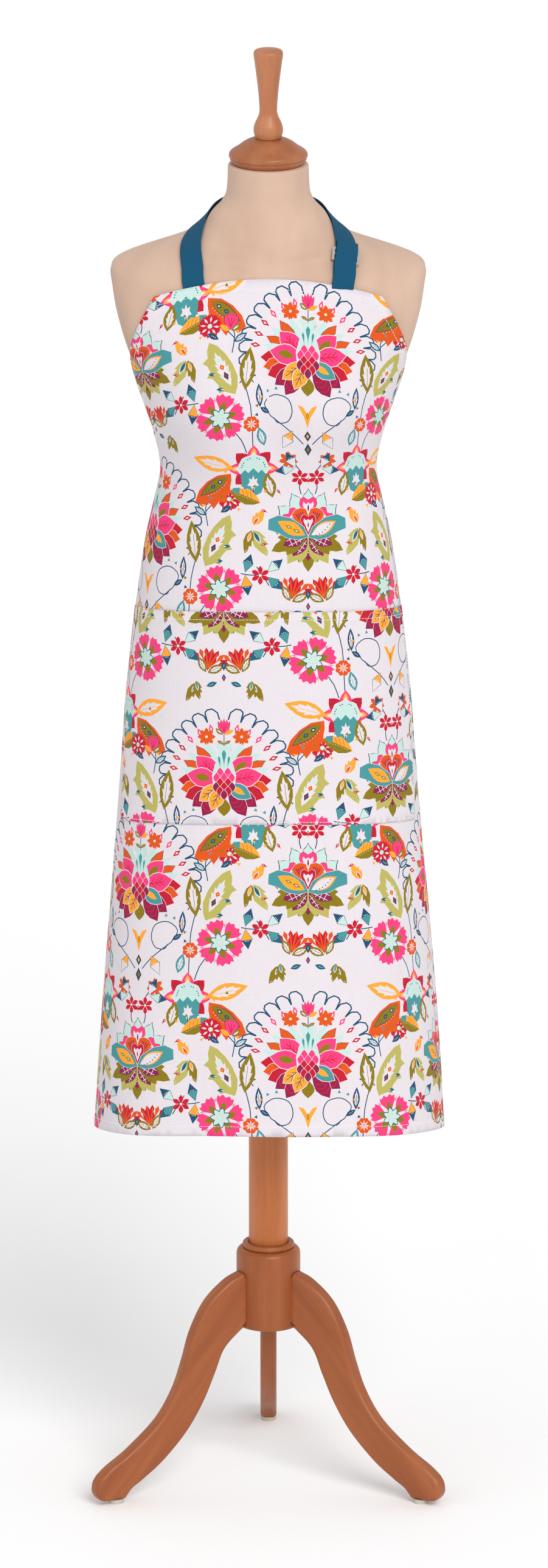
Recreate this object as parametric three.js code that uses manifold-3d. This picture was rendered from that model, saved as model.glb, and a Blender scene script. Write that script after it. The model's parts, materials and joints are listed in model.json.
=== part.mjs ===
// A bib apron worn on a dress form: a padded torso with a turned neck cap and finial, on a height-adjustable
// wooden stand with three shaped legs. Millimetres, +Z up. The model is built about the stand's vertical axis
// and the whole group is then moved so that the middle of its footprint is the origin.
import * as THREE from "three";
import { mergeVertices } from "three/addons/utils/BufferGeometryUtils.js";
import Module from "manifold-3d";

const wasm = await Module();
wasm.setup();

// ---- Driving dimensions ---------------------------------------------------------------------------------
const fitGap = 0.3;                // between pieces that touch or slide on each other
const roundSides = 24;             // sides of a large turned piece
const smallSides = 12;             // sides of a screw, dowel or pad

// Stand
const legThickness = 19;
const legEdgeRound = 4;
const footPadRadius = 9;
const footPadHeight = 5;
const footPadReach = 204;          // from the stand's axis to the middle of a pad
const hubRadius = 37.1;
const hubBottom = 185.3;
const hubTop = 279;
const hubFloor = 12;
const ringRadius = 30;
const ringHeight = 6.3;
const columnRadius = 22.7;
const columnTop = 700;
const columnPlug = 38;             // solid foot of the column, below its bore
const boltRadius = 4;
const boltHeadRadius = 6.5;
const boltHeadHeight = 5;
const boltReach = 30;              // length of the bolt inside the column
const washerRadius = 11;
const washerHeight = 1.6;
const dowelRadius = 4;
const dowelFromColumn = 2.4;       // between the column and a dowel's inner end
const dowelInLeg = 24;
const dowelHeights = [212, 238];

// Height adjustment
const postRadius = 12.5;
const postWall = 1.6;
const postBottom = 330;
const postTop = 985;
const plugDepth = 18;
const plugFlange = 4;
const collarWall = 2.6;
const collarSkirt = 18;
const collarHead = 14;
const lockScrewRadius = 3;
const lockScrewLength = 28;
const lockKnobRadius = 13;
const lockKnobLobes = 6;
const lockKnobDepth = 12;

// Dress form
const formBottom = 826;
const neckTop = 1570;
const coverThickness = 1;
const shellWall = 4;
const boardThickness = 12;
const boardInset = 2;              // the board sits this far above the shell's lower rim
const socketWall = 3.6;
const socketFlangeRadius = 38;
const socketFlangeHeight = 4;
const socketScrewRing = 28;
const socketScrewRadius = 1.8;
const socketScrewLength = 12;
const socketScrewHeadRadius = 4;
const neckBlockHeight = 18;
const studRadius = 4;
const capHeight = 29.2;
const finialHeight = 104.2;
const studInFinial = 22;

// Apron
const clothClearance = 3;          // between the torso's cover and the back of the cloth
const clothThickness = 1.2;
const bibTop = 1453;               // height of the bib's upper edge at the middle of the front
const hemHeight = 456;             // height of the lower hem at the middle of the front
const pocketTop = 1070;
const pocketBottom = 822;
const pocketHalfWidth = 196;
const pocketStandOff = 1.6;        // room between the panel and the pocket
const webbingWidth = 25;
const webbingThickness = 1.4;
// Between the torso's cover and the inner face of the neck strap: a wider strap bridges the curved
// shoulder further out.
const strapLift = 2.375 + webbingWidth ** 2 / 1000;
const tieLift = 2.5;               // the same for the waist ties
const waistTieHeight = 1204;
const sliderWidth = 32;
const sliderLength = 18;
const sliderThickness = 2.2;
const sliderBar = 2.6;
const knotWidth = 22;
const knotHeight = 24;
const knotDepth = 11;
const bowLoopLength = 84;
const tieTailLength = 330;

// ---- Shapes given by hand -------------------------------------------------------------------------------
// Horizontal sections of the torso: height, half width, depth to the front, depth to the back, squareness.
const torsoSections = [
  [826, 152, 101, 104, 2.15],
  [907, 158, 106, 112, 2.2],
  [951, 158, 107, 115, 2.2],
  [1038, 150, 105, 114, 2.2],
  [1124, 138, 98, 100, 2.15],
  [1168, 129, 94, 88, 2.1],
  [1211, 120, 92, 80, 2.1],
  [1254, 127, 96, 86, 2.15],
  [1297, 140.5, 102, 97, 2.3],
  [1334, 152.5, 102, 103, 2.5],
  [1369, 164.5, 97, 104, 2.8],
  [1403, 173.5, 90, 101, 3],
  [1424, 177, 85, 97, 3],
  [1446, 179.2, 79, 91, 2.7],
  [1455, 176.8, 76, 88, 2.35],
  [1463, 165, 72.5, 85, 2.1],
  [1472, 141, 69, 81, 1.95],
  [1480, 114, 66, 78, 1.95],
  [1489, 90, 62, 73, 2],
  [1500, 74, 58, 67, 2],
  [1514, 64, 55, 60, 2],
  [1524, 54.5, 52, 55, 2],
  [1535, 48.4, 49, 50.5, 2],
  [1548, 46.7, 47.4, 48, 2],
  [1566, 46, 46, 46, 2],
];
// The skirt leaves the hips and hangs free: the same five numbers, from the hem up to the hips.
const skirtSections = [
  [400, 199.5, 140, 104, 2.3],
  [513, 193.6, 136, 106, 2.3],
  [601, 187.7, 131, 108, 2.25],
  [689, 180.4, 126, 110, 2.25],
  [776, 172.8, 120, 112, 2.2],
  [864, 165.9, 114, 114, 2.2],
  [951, 159.5, 110, 117, 2.2],
];
// Half width of the cut cloth, along the cloth from the middle of the front, at heights on that middle line.
const clothHalfWidths = [
  [456, 345],
  [820, 322],
  [1100, 300],
  [1210, 291],
  [1245, 285],
  [1290, 252],
  [1345, 205],
  [1400, 166],
  [1453, 130],
];
// How much a level line of the cloth sags towards the sides: the factor of the squared distance from
// the middle.
const clothSag = [
  [456, 0.00042],
  [1100, 0.0005],
  [1300, 0.0006],
  [1453, 0.0013],
];
// The two breasts of the form: azimuth from the front in degrees, height, and how far each spreads.
const breastAzimuth = 33;
const breastHeight = 1296;
const breastRise = 15;
const breastSpreadDegrees = 24;
const breastSpreadHeight = 56;
// The neck strap's way over one shoulder: azimuth from the front in degrees, and height on the torso.
const strapRoute = [
  [48.5, 1446.5],
  [54, 1464],
  [63.5, 1479],
  [78, 1490.5],
  [97, 1499],
  [117, 1506],
  [138, 1511],
  [159, 1514],
  [180, 1515],
];
const sliderAt = 0.09;             // place of the slider along the right-hand half of the strap

// The strap's turned-back end, from the slider down to the right bib corner.
const returnRoute = [[63, 1478.5], [58, 1471.5], [54, 1464], [51, 1455], [48.5, 1446.5]];

const waistLevel = 1211;           // where the bib's shaping starts
const tieCornerDistance = 287;     // along the cloth, from the middle of the front to the ties
const tailTurnPerWidth = 0.0068;   // turn of a tail from the back's middle, for each mm of webbing
const tieEndAzimuth = 178.6;       // where each tie meets the knot, in degrees from the front

// The bow: how far its loops hang below level, and a loop's [share of its reach, depth].
const bowDroop = THREE.MathUtils.degToRad(14);
const bowProfile = [[0, 2.2], [0.22, 5], [0.55, 9], [0.85, 9.5], [0.99, 4], [0.98, -2], [0.82, -5],
  [0.5, -3.5], [0.2, -2], [0, -1.6]];

// ---- Materials ------------------------------------------------------------------------------------------
function material(color, roughness, metalness) {
  return new THREE.MeshStandardMaterial({ color, roughness, metalness });
}
const beech = material(0xb06a44, 0.45, 0);
const jersey = material(0xdcbea6, 0.9, 0);
const printedCotton = material(0xe6dce0, 0.85, 0);
const webbing = material(0x1a6086, 0.75, 0);
const steel = material(0x9a9a9c, 0.35, 1);
const nickel = material(0xc8c6c2, 0.25, 1);
const plastic = material(0x2b2b2d, 0.5, 0);
const shellPlastic = material(0xd8d2c6, 0.6, 0);
const felt = material(0x8c8378, 0.95, 0);
const board = material(0xb08a62, 0.7, 0);

// ---- Solid helpers --------------------------------------------------------------------------------------
// Welds a geometry into one indexed closed skin, drops triangles without area and turns its faces outward.
function weld(geometry) {
  const bare = geometry.clone();
  bare.deleteAttribute("normal");
  bare.deleteAttribute("uv");
  const merged = mergeVertices(bare, 1e-3);
  const source = merged.index.array;
  const place = merged.attributes.position;
  const kept = [];
  let volume = 0;
  const [a, b, c] = [new THREE.Vector3(), new THREE.Vector3(), new THREE.Vector3()];
  for (let i = 0; i < source.length; i += 3) {
    const [p, q, r] = [source[i], source[i + 1], source[i + 2]];
    if (p === q || q === r || r === p) continue;
    kept.push(p, q, r);
    a.fromBufferAttribute(place, p);
    b.fromBufferAttribute(place, q);
    c.fromBufferAttribute(place, r);
    volume += a.dot(b.cross(c));
  }
  if (volume < 0) {
    for (let i = 0; i < kept.length; i += 3) [kept[i], kept[i + 1]] = [kept[i + 1], kept[i]];
  }
  merged.setIndex(kept);
  return merged;
}

function toSolid(geometry) {
  const skin = weld(geometry);
  const vertProperties = new Float32Array(skin.attributes.position.array);
  const triVerts = new Uint32Array(skin.index.array);
  return new wasm.Manifold(new wasm.Mesh({ numProp: 3, vertProperties, triVerts }));
}

// The body with every tool cut out of it.
function cut(body, tools) {
  let solid = toSolid(body);
  for (const tool of tools) solid = solid.subtract(toSolid(tool));
  const mesh = solid.getMesh();
  const geometry = new THREE.BufferGeometry();
  geometry.setAttribute("position", new THREE.BufferAttribute(new Float32Array(mesh.vertProperties), 3));
  geometry.setIndex(Array.from(mesh.triVerts));
  return weld(geometry);
}

// A piece turned about the vertical axis. The outline is [radius, height] pairs, from axis to axis or closed.
function turned(outline, sides = roundSides) {
  const points = outline.map(([radius, height]) => new THREE.Vector2(radius, height));
  return weld(new THREE.LatheGeometry(points, sides).rotateX(Math.PI / 2));
}

function ringOutline(inner, outer, bottom, top) {
  return [[inner, bottom], [outer, bottom], [outer, top], [inner, top], [inner, bottom]];
}

function rod(radius, bottom, top, sides = smallSides) {
  return turned([[0, bottom], [radius, bottom], [radius, top], [0, top]], sides);
}

// A quarter round between two outline points, as extra outline points around the corner centre.
function arc(centreRadius, centreHeight, size, fromDegrees, toDegrees, steps) {
  const points = [];
  for (let i = 0; i <= steps; i++) {
    const angle = THREE.MathUtils.degToRad(fromDegrees + ((toDegrees - fromDegrees) * i) / steps);
    points.push([centreRadius + size * Math.cos(angle), centreHeight + size * Math.sin(angle)]);
  }
  return points;
}

function indexedSkin(points, index) {
  const geometry = new THREE.BufferGeometry();
  const positions = points.flatMap((point) => [point.x, point.y, point.z]);
  geometry.setAttribute("position", new THREE.Float32BufferAttribute(positions, 3));
  geometry.setIndex(index);
  return weld(geometry);
}

// Triangles of the skin between neighbouring rings; each four-sided patch is split along its shorter
// diagonal.
function sideTriangles(rings, closesOnItself) {
  const count = rings[0].length;
  const index = [];
  const spans = closesOnItself ? rings.length : rings.length - 1;
  for (let i = 0; i < spans; i++) {
    const above = (i + 1) % rings.length;
    for (let j = 0; j < count; j++) {
      const next = (j + 1) % count;
      const [p, q, r, s] = [i * count + j, i * count + next, above * count + next, above * count + j];
      const oneWay = rings[i][j].distanceTo(rings[above][next]);
      const straight = oneWay <= rings[i][next].distanceTo(rings[above][j]);
      index.push(...(straight ? [p, q, r, p, r, s] : [p, q, s, q, r, s]));
    }
  }
  return index;
}

// A skin through rings of equally many points. Its ends are capped, or joined when the loft closes on itself.
function loft(rings, closesOnItself = false) {
  const count = rings[0].length;
  const points = rings.flat();
  const index = sideTriangles(rings, closesOnItself);
  if (!closesOnItself) {
    for (const [ring, reverse] of [[0, true], [rings.length - 1, false]]) {
      const middle = new THREE.Vector3();
      for (const point of rings[ring]) middle.addScaledVector(point, 1 / count);
      const centre = points.push(middle) - 1;
      for (let j = 0; j < count; j++) {
        const [p, q] = [ring * count + j, ring * count + ((j + 1) % count)];
        index.push(...(reverse ? [centre, q, p] : [centre, p, q]));
      }
    }
  }
  return indexedSkin(points, index);
}

// A skin through rings that each run along the front of a sheet and back along its reverse side.
function sheetLoft(rings) {
  const count = rings[0].length;
  const index = sideTriangles(rings, false);
  for (const [start, reverse] of [[0, true], [(rings.length - 1) * count, false]]) {
    for (let j = 0; j < count / 2 - 1; j++) {
      const corners = [start + j, start + j + 1, start + count - 2 - j, start + count - 1 - j];
      if (reverse) corners.reverse();
      const [p, q, r, s] = corners;
      index.push(p, q, r, p, r, s);
    }
  }
  return indexedSkin(rings.flat(), index);
}

// A ribbon of rectangular section along points, with its width along the direction given at each point.
function ribbon(points, widthDirections, width, thickness) {
  const rings = points.map((point, i) => {
    const before = points[Math.max(i - 1, 0)];
    const after = points[Math.min(i + 1, points.length - 1)];
    const tangent = after.clone().sub(before).normalize();
    const normal = tangent.clone().cross(widthDirections[i]).normalize();
    const side = normal.clone().cross(tangent).normalize();
    return [[-1, -1], [1, -1], [1, 1], [-1, 1]].map(([across, out]) =>
      point.clone()
        .addScaledVector(side, (across * width) / 2)
        .addScaledVector(normal, (out * thickness) / 2));
  });
  return loft(rings);
}

// ---- Smooth tables and the torso's surface --------------------------------------------------------------
// Value of a smooth curve through rows of [height, values...], at a height inside or near the table.
function smoothRow(rows, height) {
  let i = rows.findIndex((row) => row[0] > height) - 1;
  if (i === -2) i = rows.length - 2;
  i = Math.max(i, 0);
  const slope = (k, column) => {
    const before = rows[Math.max(k - 1, 0)];
    const after = rows[Math.min(k + 1, rows.length - 1)];
    return (after[column] - before[column]) / (after[0] - before[0]);
  };
  const span = rows[i + 1][0] - rows[i][0];
  const part = THREE.MathUtils.clamp((height - rows[i][0]) / span, 0, 1);
  const [p2, p3] = [part * part, part * part * part];
  return rows[i].slice(1).map((value, k) =>
    (2 * p3 - 3 * p2 + 1) * value + (p3 - 2 * p2 + part) * span * slope(i, k + 1)
    + (3 * p2 - 2 * p3) * rows[i + 1][k + 1] + (p3 - p2) * span * slope(i + 1, k + 1));
}

// Above the hips the cloth follows the torso.
const hipHeight = 1038;
const clothSections = [...skirtSections, ...torsoSections.filter(([height]) => height >= hipHeight)];

// Distance from the axis to a body of stacked sections, at an azimuth in radians from the front.
function bodyRadius(sections, azimuth, height) {
  const [halfWidth, front, back, squareness] = smoothRow(sections, height);
  const depth = Math.cos(azimuth) > 0 ? front : back;
  const across = Math.abs(Math.sin(azimuth) / halfWidth) ** squareness;
  const along = Math.abs(Math.cos(azimuth) / depth) ** squareness;
  const side = Math.abs(Math.atan2(Math.sin(azimuth), Math.cos(azimuth))) * THREE.MathUtils.RAD2DEG;
  const sideways = (side - breastAzimuth) / breastSpreadDegrees;
  const upwards = (height - breastHeight) / breastSpreadHeight;
  return (across + along) ** (-1 / squareness) + breastRise * Math.exp(-(sideways ** 2) - upwards ** 2);
}

function bodyPoint(sections, azimuth, height) {
  const radius = bodyRadius(sections, azimuth, height);
  return new THREE.Vector3(radius * Math.sin(azimuth), -radius * Math.cos(azimuth), height);
}

function bodyNormal(sections, azimuth, height) {
  const [turn, rise] = [0.02, 2];
  const around = bodyPoint(sections, azimuth + turn, height).sub(bodyPoint(sections, azimuth - turn, height));
  const upward = bodyPoint(sections, azimuth, height + rise).sub(bodyPoint(sections, azimuth, height - rise));
  return around.cross(upward).normalize();
}

function offsetPoint(sections, azimuth, height, offset) {
  return bodyPoint(sections, azimuth, height).addScaledVector(bodyNormal(sections, azimuth, height), offset);
}

// Azimuth of the point that lies a distance along the section at this height, measured from the front.
function azimuthAt(sections, height, distance) {
  const step = 0.02;
  const wanted = Math.abs(distance);
  let azimuth = 0;
  let travelled = 0;
  let last = bodyPoint(sections, 0, height);
  while (azimuth < Math.PI) {
    const next = bodyPoint(sections, azimuth + step, height);
    const length = next.distanceTo(last);
    if (travelled + length >= wanted) {
      azimuth += (step * (wanted - travelled)) / length;
      break;
    }
    travelled += length;
    azimuth += step;
    last = next;
  }
  return Math.sign(distance) * Math.min(azimuth, Math.PI);
}

function halfGirth(sections, height) {
  const steps = 120;
  let girth = 0;
  for (let i = 0; i < steps; i++) {
    const here = bodyPoint(sections, (Math.PI * i) / steps, height);
    girth += here.distanceTo(bodyPoint(sections, (Math.PI * (i + 1)) / steps, height));
  }
  return girth;
}

// ---- Scene ----------------------------------------------------------------------------------------------
const group = new THREE.Group();

function add(name, geometry, look) {
  const mesh = new THREE.Mesh(geometry, look);
  mesh.name = name;
  group.add(mesh);
  return mesh;
}

// ---- Stand: legs, pads, dowels, hub, ring, column -------------------------------------------------------
const legInner = hubRadius + fitGap;
const legUpperEdge = [[58, 245.5], [84, 224], [103, 191], [114, 157], [127, 124], [149, 92], [186, 62],
  [214, 45]];
const legLowerEdge = [[171, 24.5], [144, 43], [113, 73], [91, 105], [75, 138], [62, 166]];

// The leg's side view, as [reach from the axis, height] points: an S-curve with a blunt rounded toe.
function legOutline() {
  const upperPlaces = [[legInner, 254], ...legUpperEdge, [227, 35]];
  const upper = new THREE.SplineCurve(upperPlaces.map((p) => new THREE.Vector2(...p)));
  const lowerPlaces = [[194, 12.5], ...legLowerEdge, [legInner, 187.5]];
  const lower = new THREE.SplineCurve(lowerPlaces.map((p) => new THREE.Vector2(...p)));
  const underside = footPadHeight + fitGap;
  const toe = [[232, 27], [233, 16], [228, 8], [222, underside], [footPadReach - footPadRadius, underside]];
  return [...upper.getPoints(12), ...toe.map((p) => new THREE.Vector2(...p)), ...lower.getPoints(10)];
}

// The outline drawn in by the edge rounding, so that the rounded leg has the full outline.
function legGeometry() {
  const shape = new THREE.Shape(legOutline());
  return new THREE.ExtrudeGeometry(shape, {
    depth: legThickness - 2 * legEdgeRound,
    bevelThickness: legEdgeRound,
    bevelSize: legEdgeRound,
    bevelOffset: -legEdgeRound,
    bevelSegments: 2,
  }).translate(0, 0, -(legThickness - 2 * legEdgeRound) / 2).rotateX(Math.PI / 2);
}

const dowelStart = columnRadius + dowelFromColumn;
const dowelEnd = legInner + dowelInLeg;

// A level rod pointing away from the axis along +X.
function levelRod(radius, from, to, height, sides = 8) {
  return rod(radius, from, to, sides).rotateY(Math.PI / 2).translate(0, 0, height);
}

const legDirections = { left: 210, right: 330, rear: 90 };
const dowelHoles = dowelHeights.map((height) =>
  levelRod(dowelRadius + fitGap, dowelStart - fitGap, dowelEnd + fitGap, height));
for (const [side, degrees] of Object.entries(legDirections)) {
  const turn = THREE.MathUtils.degToRad(degrees);
  const leg = add(`leg_${side}`, cut(legGeometry(), dowelHoles), beech);
  leg.rotation.z = turn;
  const pad = add(`foot_pad_${side}`, rod(footPadRadius, 0, footPadHeight, 20), felt);
  pad.position.set(footPadReach * Math.cos(turn), footPadReach * Math.sin(turn), 0);
  dowelHeights.forEach((height, i) => {
    const dowelGeometry = levelRod(dowelRadius, dowelStart, dowelEnd, height);
    const dowel = add(`leg_dowel_${side}_${i + 1}`, dowelGeometry, beech);
    dowel.rotation.z = turn;
  });
}

const columnBottom = hubBottom + hubFloor + fitGap;
const boreRadius = postRadius + fitGap + 0.1;
const hubBore = columnRadius + fitGap;
const hubRound = 7;
const hubBody = turned([
  [boltRadius + fitGap, hubBottom],
  [hubRadius - 2, hubBottom],
  [hubRadius, hubBottom + 2],
  ...arc(hubRadius - hubRound, hubTop - hubRound, hubRound, 0, 90, 3),
  [hubBore, hubTop],
  [hubBore, hubBottom + hubFloor],
  [boltRadius + fitGap, hubBottom + hubFloor],
  [boltRadius + fitGap, hubBottom],
]);
const allDowelHoles = Object.values(legDirections).flatMap((degrees) =>
  dowelHoles.map((hole) => hole.clone().rotateZ(THREE.MathUtils.degToRad(degrees))));
add("leg_hub", cut(hubBody, allDowelHoles), beech);

const ringBottom = hubTop + fitGap;
add("hub_ring", turned([
  [hubBore, ringBottom],
  [ringRadius, ringBottom],
  ...arc(ringRadius - 2.4, ringBottom + ringHeight - 2.4, 2.4, 0, 90, 2),
  [hubBore, ringBottom + ringHeight],
  [hubBore, ringBottom],
]), beech);

const boltHole = boltRadius + fitGap;
add("column", turned([
  [0, columnBottom + boltReach + fitGap],
  [boltHole, columnBottom + boltReach + fitGap],
  [boltHole, columnBottom],
  [columnRadius, columnBottom],
  [columnRadius, columnTop],
  [boreRadius, columnTop],
  [boreRadius, columnBottom + columnPlug],
  [0, columnBottom + columnPlug],
]), beech);

const washerTop = hubBottom - fitGap;
const headTop = washerTop - washerHeight - fitGap;
const washerOutline = ringOutline(boltHole, washerRadius, washerTop - washerHeight, washerTop);
add("hub_washer", turned(washerOutline, 24), steel);
add("column_bolt", turned([
  [0, headTop - boltHeadHeight],
  [boltHeadRadius, headTop - boltHeadHeight],
  [boltHeadRadius, headTop],
  [boltRadius, headTop],
  [boltRadius, columnBottom + boltReach],
  [0, columnBottom + boltReach],
], smallSides), steel);

// ---- Height adjustment: collar, lock screw and knob, steel post with its plugs --------------------------
const collarBottom = columnTop - collarSkirt;
const collarSeat = columnTop + fitGap;
const collarTop = collarSeat + collarHead;
const collarOuter = columnRadius + fitGap + collarWall;
const lockHeight = collarSeat + collarHead / 2;
const collarBody = turned([
  [columnRadius + fitGap, collarBottom],
  [collarOuter, collarBottom],
  [collarOuter, collarTop - 1.5],
  [collarOuter - 1.5, collarTop],
  [boreRadius, collarTop],
  [boreRadius, collarSeat],
  [columnRadius + fitGap, collarSeat],
  [columnRadius + fitGap, collarBottom],
]);
const lockHole = levelRod(lockScrewRadius + fitGap, postRadius - 2, collarOuter + 2, lockHeight, smallSides);
add("clamp_collar", cut(collarBody, [lockHole.rotateZ(Math.PI / 2)]), steel);

const lockScrewTip = postRadius + fitGap;
const lockKnobStart = collarOuter + 2;
const lockScrewEnd = lockScrewTip + lockScrewLength;
const lockScrew = levelRod(lockScrewRadius, lockScrewTip, lockScrewEnd, lockHeight, smallSides);
add("lock_screw", lockScrew.rotateZ(Math.PI / 2), steel);

// The knob is a lobed disc with a blind hole for the screw.
function lockKnobGeometry() {
  const outline = [];
  const steps = lockKnobLobes * 6;
  for (let i = 0; i < steps; i++) {
    const angle = (2 * Math.PI * i) / steps;
    const radius = lockKnobRadius - 1.4 + 1.4 * Math.cos(lockKnobLobes * angle);
    outline.push(new THREE.Vector2(radius * Math.cos(angle), radius * Math.sin(angle)));
  }
  const body = new THREE.ExtrudeGeometry(new THREE.Shape(outline), {
    depth: lockKnobDepth - 3,
    bevelThickness: 1.5,
    bevelSize: 1.5,
    bevelOffset: -1.5,
    bevelSegments: 1,
  }).translate(0, 0, 1.5);
  const screwInKnob = lockScrewTip + lockScrewLength - lockKnobStart;
  return cut(body, [rod(lockScrewRadius + fitGap, -1, screwInKnob + fitGap)]);
}
const lockKnob = add("lock_knob", lockKnobGeometry(), plastic);
lockKnob.rotation.x = -Math.PI / 2;
lockKnob.position.set(0, lockKnobStart, lockHeight);

add("inner_post", turned(ringOutline(postRadius - postWall, postRadius, postBottom, postTop), 24), steel);
const plugRadius = postRadius - postWall - fitGap;
add("post_plug_top", turned([
  [0, postTop - plugDepth],
  [plugRadius, postTop - plugDepth],
  [plugRadius, postTop + fitGap],
  [postRadius, postTop + fitGap],
  [postRadius, postTop + plugFlange],
  [0, postTop + plugFlange],
], 16), plastic);
add("post_plug_bottom", turned([
  [0, postBottom - plugFlange],
  [postRadius, postBottom - plugFlange],
  [postRadius, postBottom - fitGap],
  [plugRadius, postBottom - fitGap],
  [plugRadius, postBottom + plugDepth],
  [0, postBottom + plugDepth],
], 16), plastic);

// ---- Dress form -----------------------------------------------------------------------------------------
const torsoSides = 24;
const torsoLevels = [826, 880, 951, 1000, 1050, 1100, 1140, 1176, 1211, 1246, 1282, 1320, 1360, 1400, 1428,
  1446, 1456, 1466, 1476, 1488, 1502, 1516, 1530, 1566];

function torsoRing(height, offset) {
  const girth = 2 * halfGirth(torsoSections, height);
  const ring = [];
  for (let i = 0; i < torsoSides; i++) {
    const share = i / torsoSides;
    const distance = share <= 0.5 ? share * girth : (share - 1) * girth;
    ring.push(offsetPoint(torsoSections, azimuthAt(torsoSections, height, distance), height, offset));
  }
  return ring;
}

function circleRing(radius, height) {
  const ring = [];
  for (let i = 0; i < torsoSides; i++) {
    const azimuth = (2 * Math.PI * i) / torsoSides;
    ring.push(new THREE.Vector3(radius * Math.sin(azimuth), -radius * Math.cos(azimuth), height));
  }
  return ring;
}

// The jersey cover: torso skin, a rounded neck edge, and a small hole for the cap's stud.
const neckRadius = 46;
const studHole = studRadius + fitGap;
const coverInnerTop = neckTop - coverThickness;
const innerRings = torsoLevels.map((height) => torsoRing(height, -coverThickness)).reverse();
add("torso_cover", loft([
  circleRing(studHole, coverInnerTop),
  circleRing(neckRadius - coverThickness - 1.5, coverInnerTop),
  ...innerRings,
  ...torsoLevels.map((height) => torsoRing(height, 0)),
  circleRing(neckRadius - 1.5, neckTop),
  circleRing(studHole, neckTop),
], true), jersey);

const shellOffset = -coverThickness - fitGap;
const blockTop = coverInnerTop - fitGap;
const blockBottom = blockTop - neckBlockHeight;
const shellTop = blockBottom - fitGap;
const shellLevels = torsoLevels.filter((height) => height < shellTop - 4);
const shellInnerLevels = shellLevels.filter((height, i) => i % 2 === 0 && height < shellTop - 20);
add("torso_shell", loft([
  circleRing(neckRadius - 2.6, shellTop),
  ...shellLevels.map((height) => torsoRing(height, shellOffset)).reverse(),
  ...shellInnerLevels.map((height) => torsoRing(height, shellOffset - shellWall)),
  circleRing(neckRadius - 12, shellTop - shellWall),
]), shellPlastic);

const boardOffset = shellOffset - shellWall - 2 * fitGap;
const boardBottom = formBottom + boardInset;
const socketOuter = boreRadius + socketWall;
const screwPlaces = [45, 135, 225, 315].map((degrees) => {
  const turn = THREE.MathUtils.degToRad(degrees);
  return [socketScrewRing * Math.cos(turn), socketScrewRing * Math.sin(turn)];
});
const flangeTop = boardBottom - fitGap;
const flangeBottom = flangeTop - socketFlangeHeight;
const screwTop = flangeBottom + socketScrewLength;
const screwHoles = screwPlaces.map(([x, y]) =>
  rod(socketScrewRadius + fitGap, flangeBottom - 1, screwTop + fitGap, 12).translate(x, y, 0));
const boardTop = boardBottom + boardThickness;
const boardBody = loft([torsoRing(boardBottom, boardOffset), torsoRing(boardTop, boardOffset)]);
const boardHole = rod(socketOuter + fitGap, boardBottom - 1, boardBottom + boardThickness + 1, roundSides);
add("base_board", cut(boardBody, [boardHole, ...screwHoles]), board);

const socketRoof = postTop + plugFlange + fitGap;
const socketBody = turned([
  [0, socketRoof],
  [boreRadius, socketRoof],
  [boreRadius, flangeBottom],
  [socketFlangeRadius, flangeBottom],
  [socketFlangeRadius, flangeTop],
  [socketOuter, flangeTop],
  [socketOuter, socketRoof + socketWall],
  [0, socketRoof + socketWall],
]);
add("pole_socket", cut(socketBody, screwHoles), plastic);

const screwHeadTop = flangeBottom - fitGap;
screwPlaces.forEach(([x, y], i) => {
  const screw = add(`socket_screw_${i + 1}`, turned([
    [0, screwHeadTop - 2.2],
    [socketScrewHeadRadius - 1, screwHeadTop - 2.2],
    [socketScrewHeadRadius, screwHeadTop],
    [socketScrewRadius, screwHeadTop],
    [socketScrewRadius, screwTop],
    [0, screwTop],
  ], 12), steel);
  screw.position.set(x, y, 0);
});

const studBottom = blockBottom + 3;
const capBottom = neckTop + fitGap;
const capTop = capBottom + capHeight;
const finialBottom = capTop + fitGap;
const studTop = finialBottom + studInFinial;
add("neck_block", turned([
  [0, blockBottom],
  [neckRadius - 2, blockBottom],
  [neckRadius - 2, blockTop - 3],
  [neckRadius - 4, blockTop],
  [studHole, blockTop],
  [studHole, studBottom - fitGap],
  [0, studBottom - fitGap],
]), board);
add("cap_stud", rod(studRadius, studBottom, studTop), steel);

// Ogee neck cap: a flared rim under a low dome.
add("neck_cap", turned([
  [studHole, capBottom],
  [40.5, capBottom],
  [42.8, capBottom + 3.4],
  [44.6, capBottom + 7],
  [44.9, capBottom + 10.5],
  [43.4, capBottom + 13.4],
  [39.6, capBottom + 16.2],
  [36, capBottom + 18.4],
  [33.1, capBottom + 20.6],
  [28, capBottom + 24.4],
  [21.5, capBottom + 27.6],
  [15.5, capTop],
  [studHole, capTop],
  [studHole, capBottom],
]), beech);

// Finial: a ball under a slim waist that flares to a domed top, with a blind hole for the stud.
const finialTop = finialBottom + finialHeight;
add("finial", turned([
  [studHole, finialBottom],
  [14.6, finialBottom],
  [15.6, finialBottom + 2.5],
  [16.8, finialBottom + 7.5],
  [16.5, finialBottom + 13],
  [14.6, finialBottom + 18.5],
  [12, finialBottom + 24],
  [10.4, finialBottom + 29],
  [10.1, finialBottom + 34],
  [10.7, finialBottom + 45],
  [12, finialBottom + 59],
  [13.8, finialBottom + 74],
  [15.6, finialBottom + 88],
  [16.8, finialBottom + 96.5],
  [16.4, finialBottom + 100.2],
  [14, finialBottom + 102.4],
  [8, finialTop - 0.6],
  [0, finialTop],
  [0, studTop + fitGap],
  [studHole, studTop + fitGap],
  [studHole, finialBottom],
], 20), beech);

// ---- Apron ----------------------------------------------------------------------------------------------
// Place on the worn cloth: a distance along the cloth from the middle of the front, and the height that this
// level line has at that middle.
function clothPoint(distance, middleHeight, offset) {
  const height = middleHeight - smoothRow(clothSag, middleHeight)[0] * distance * distance;
  const azimuth = azimuthAt(clothSections, height, distance);
  return offsetPoint(clothSections, azimuth, height, offset);
}

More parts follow.
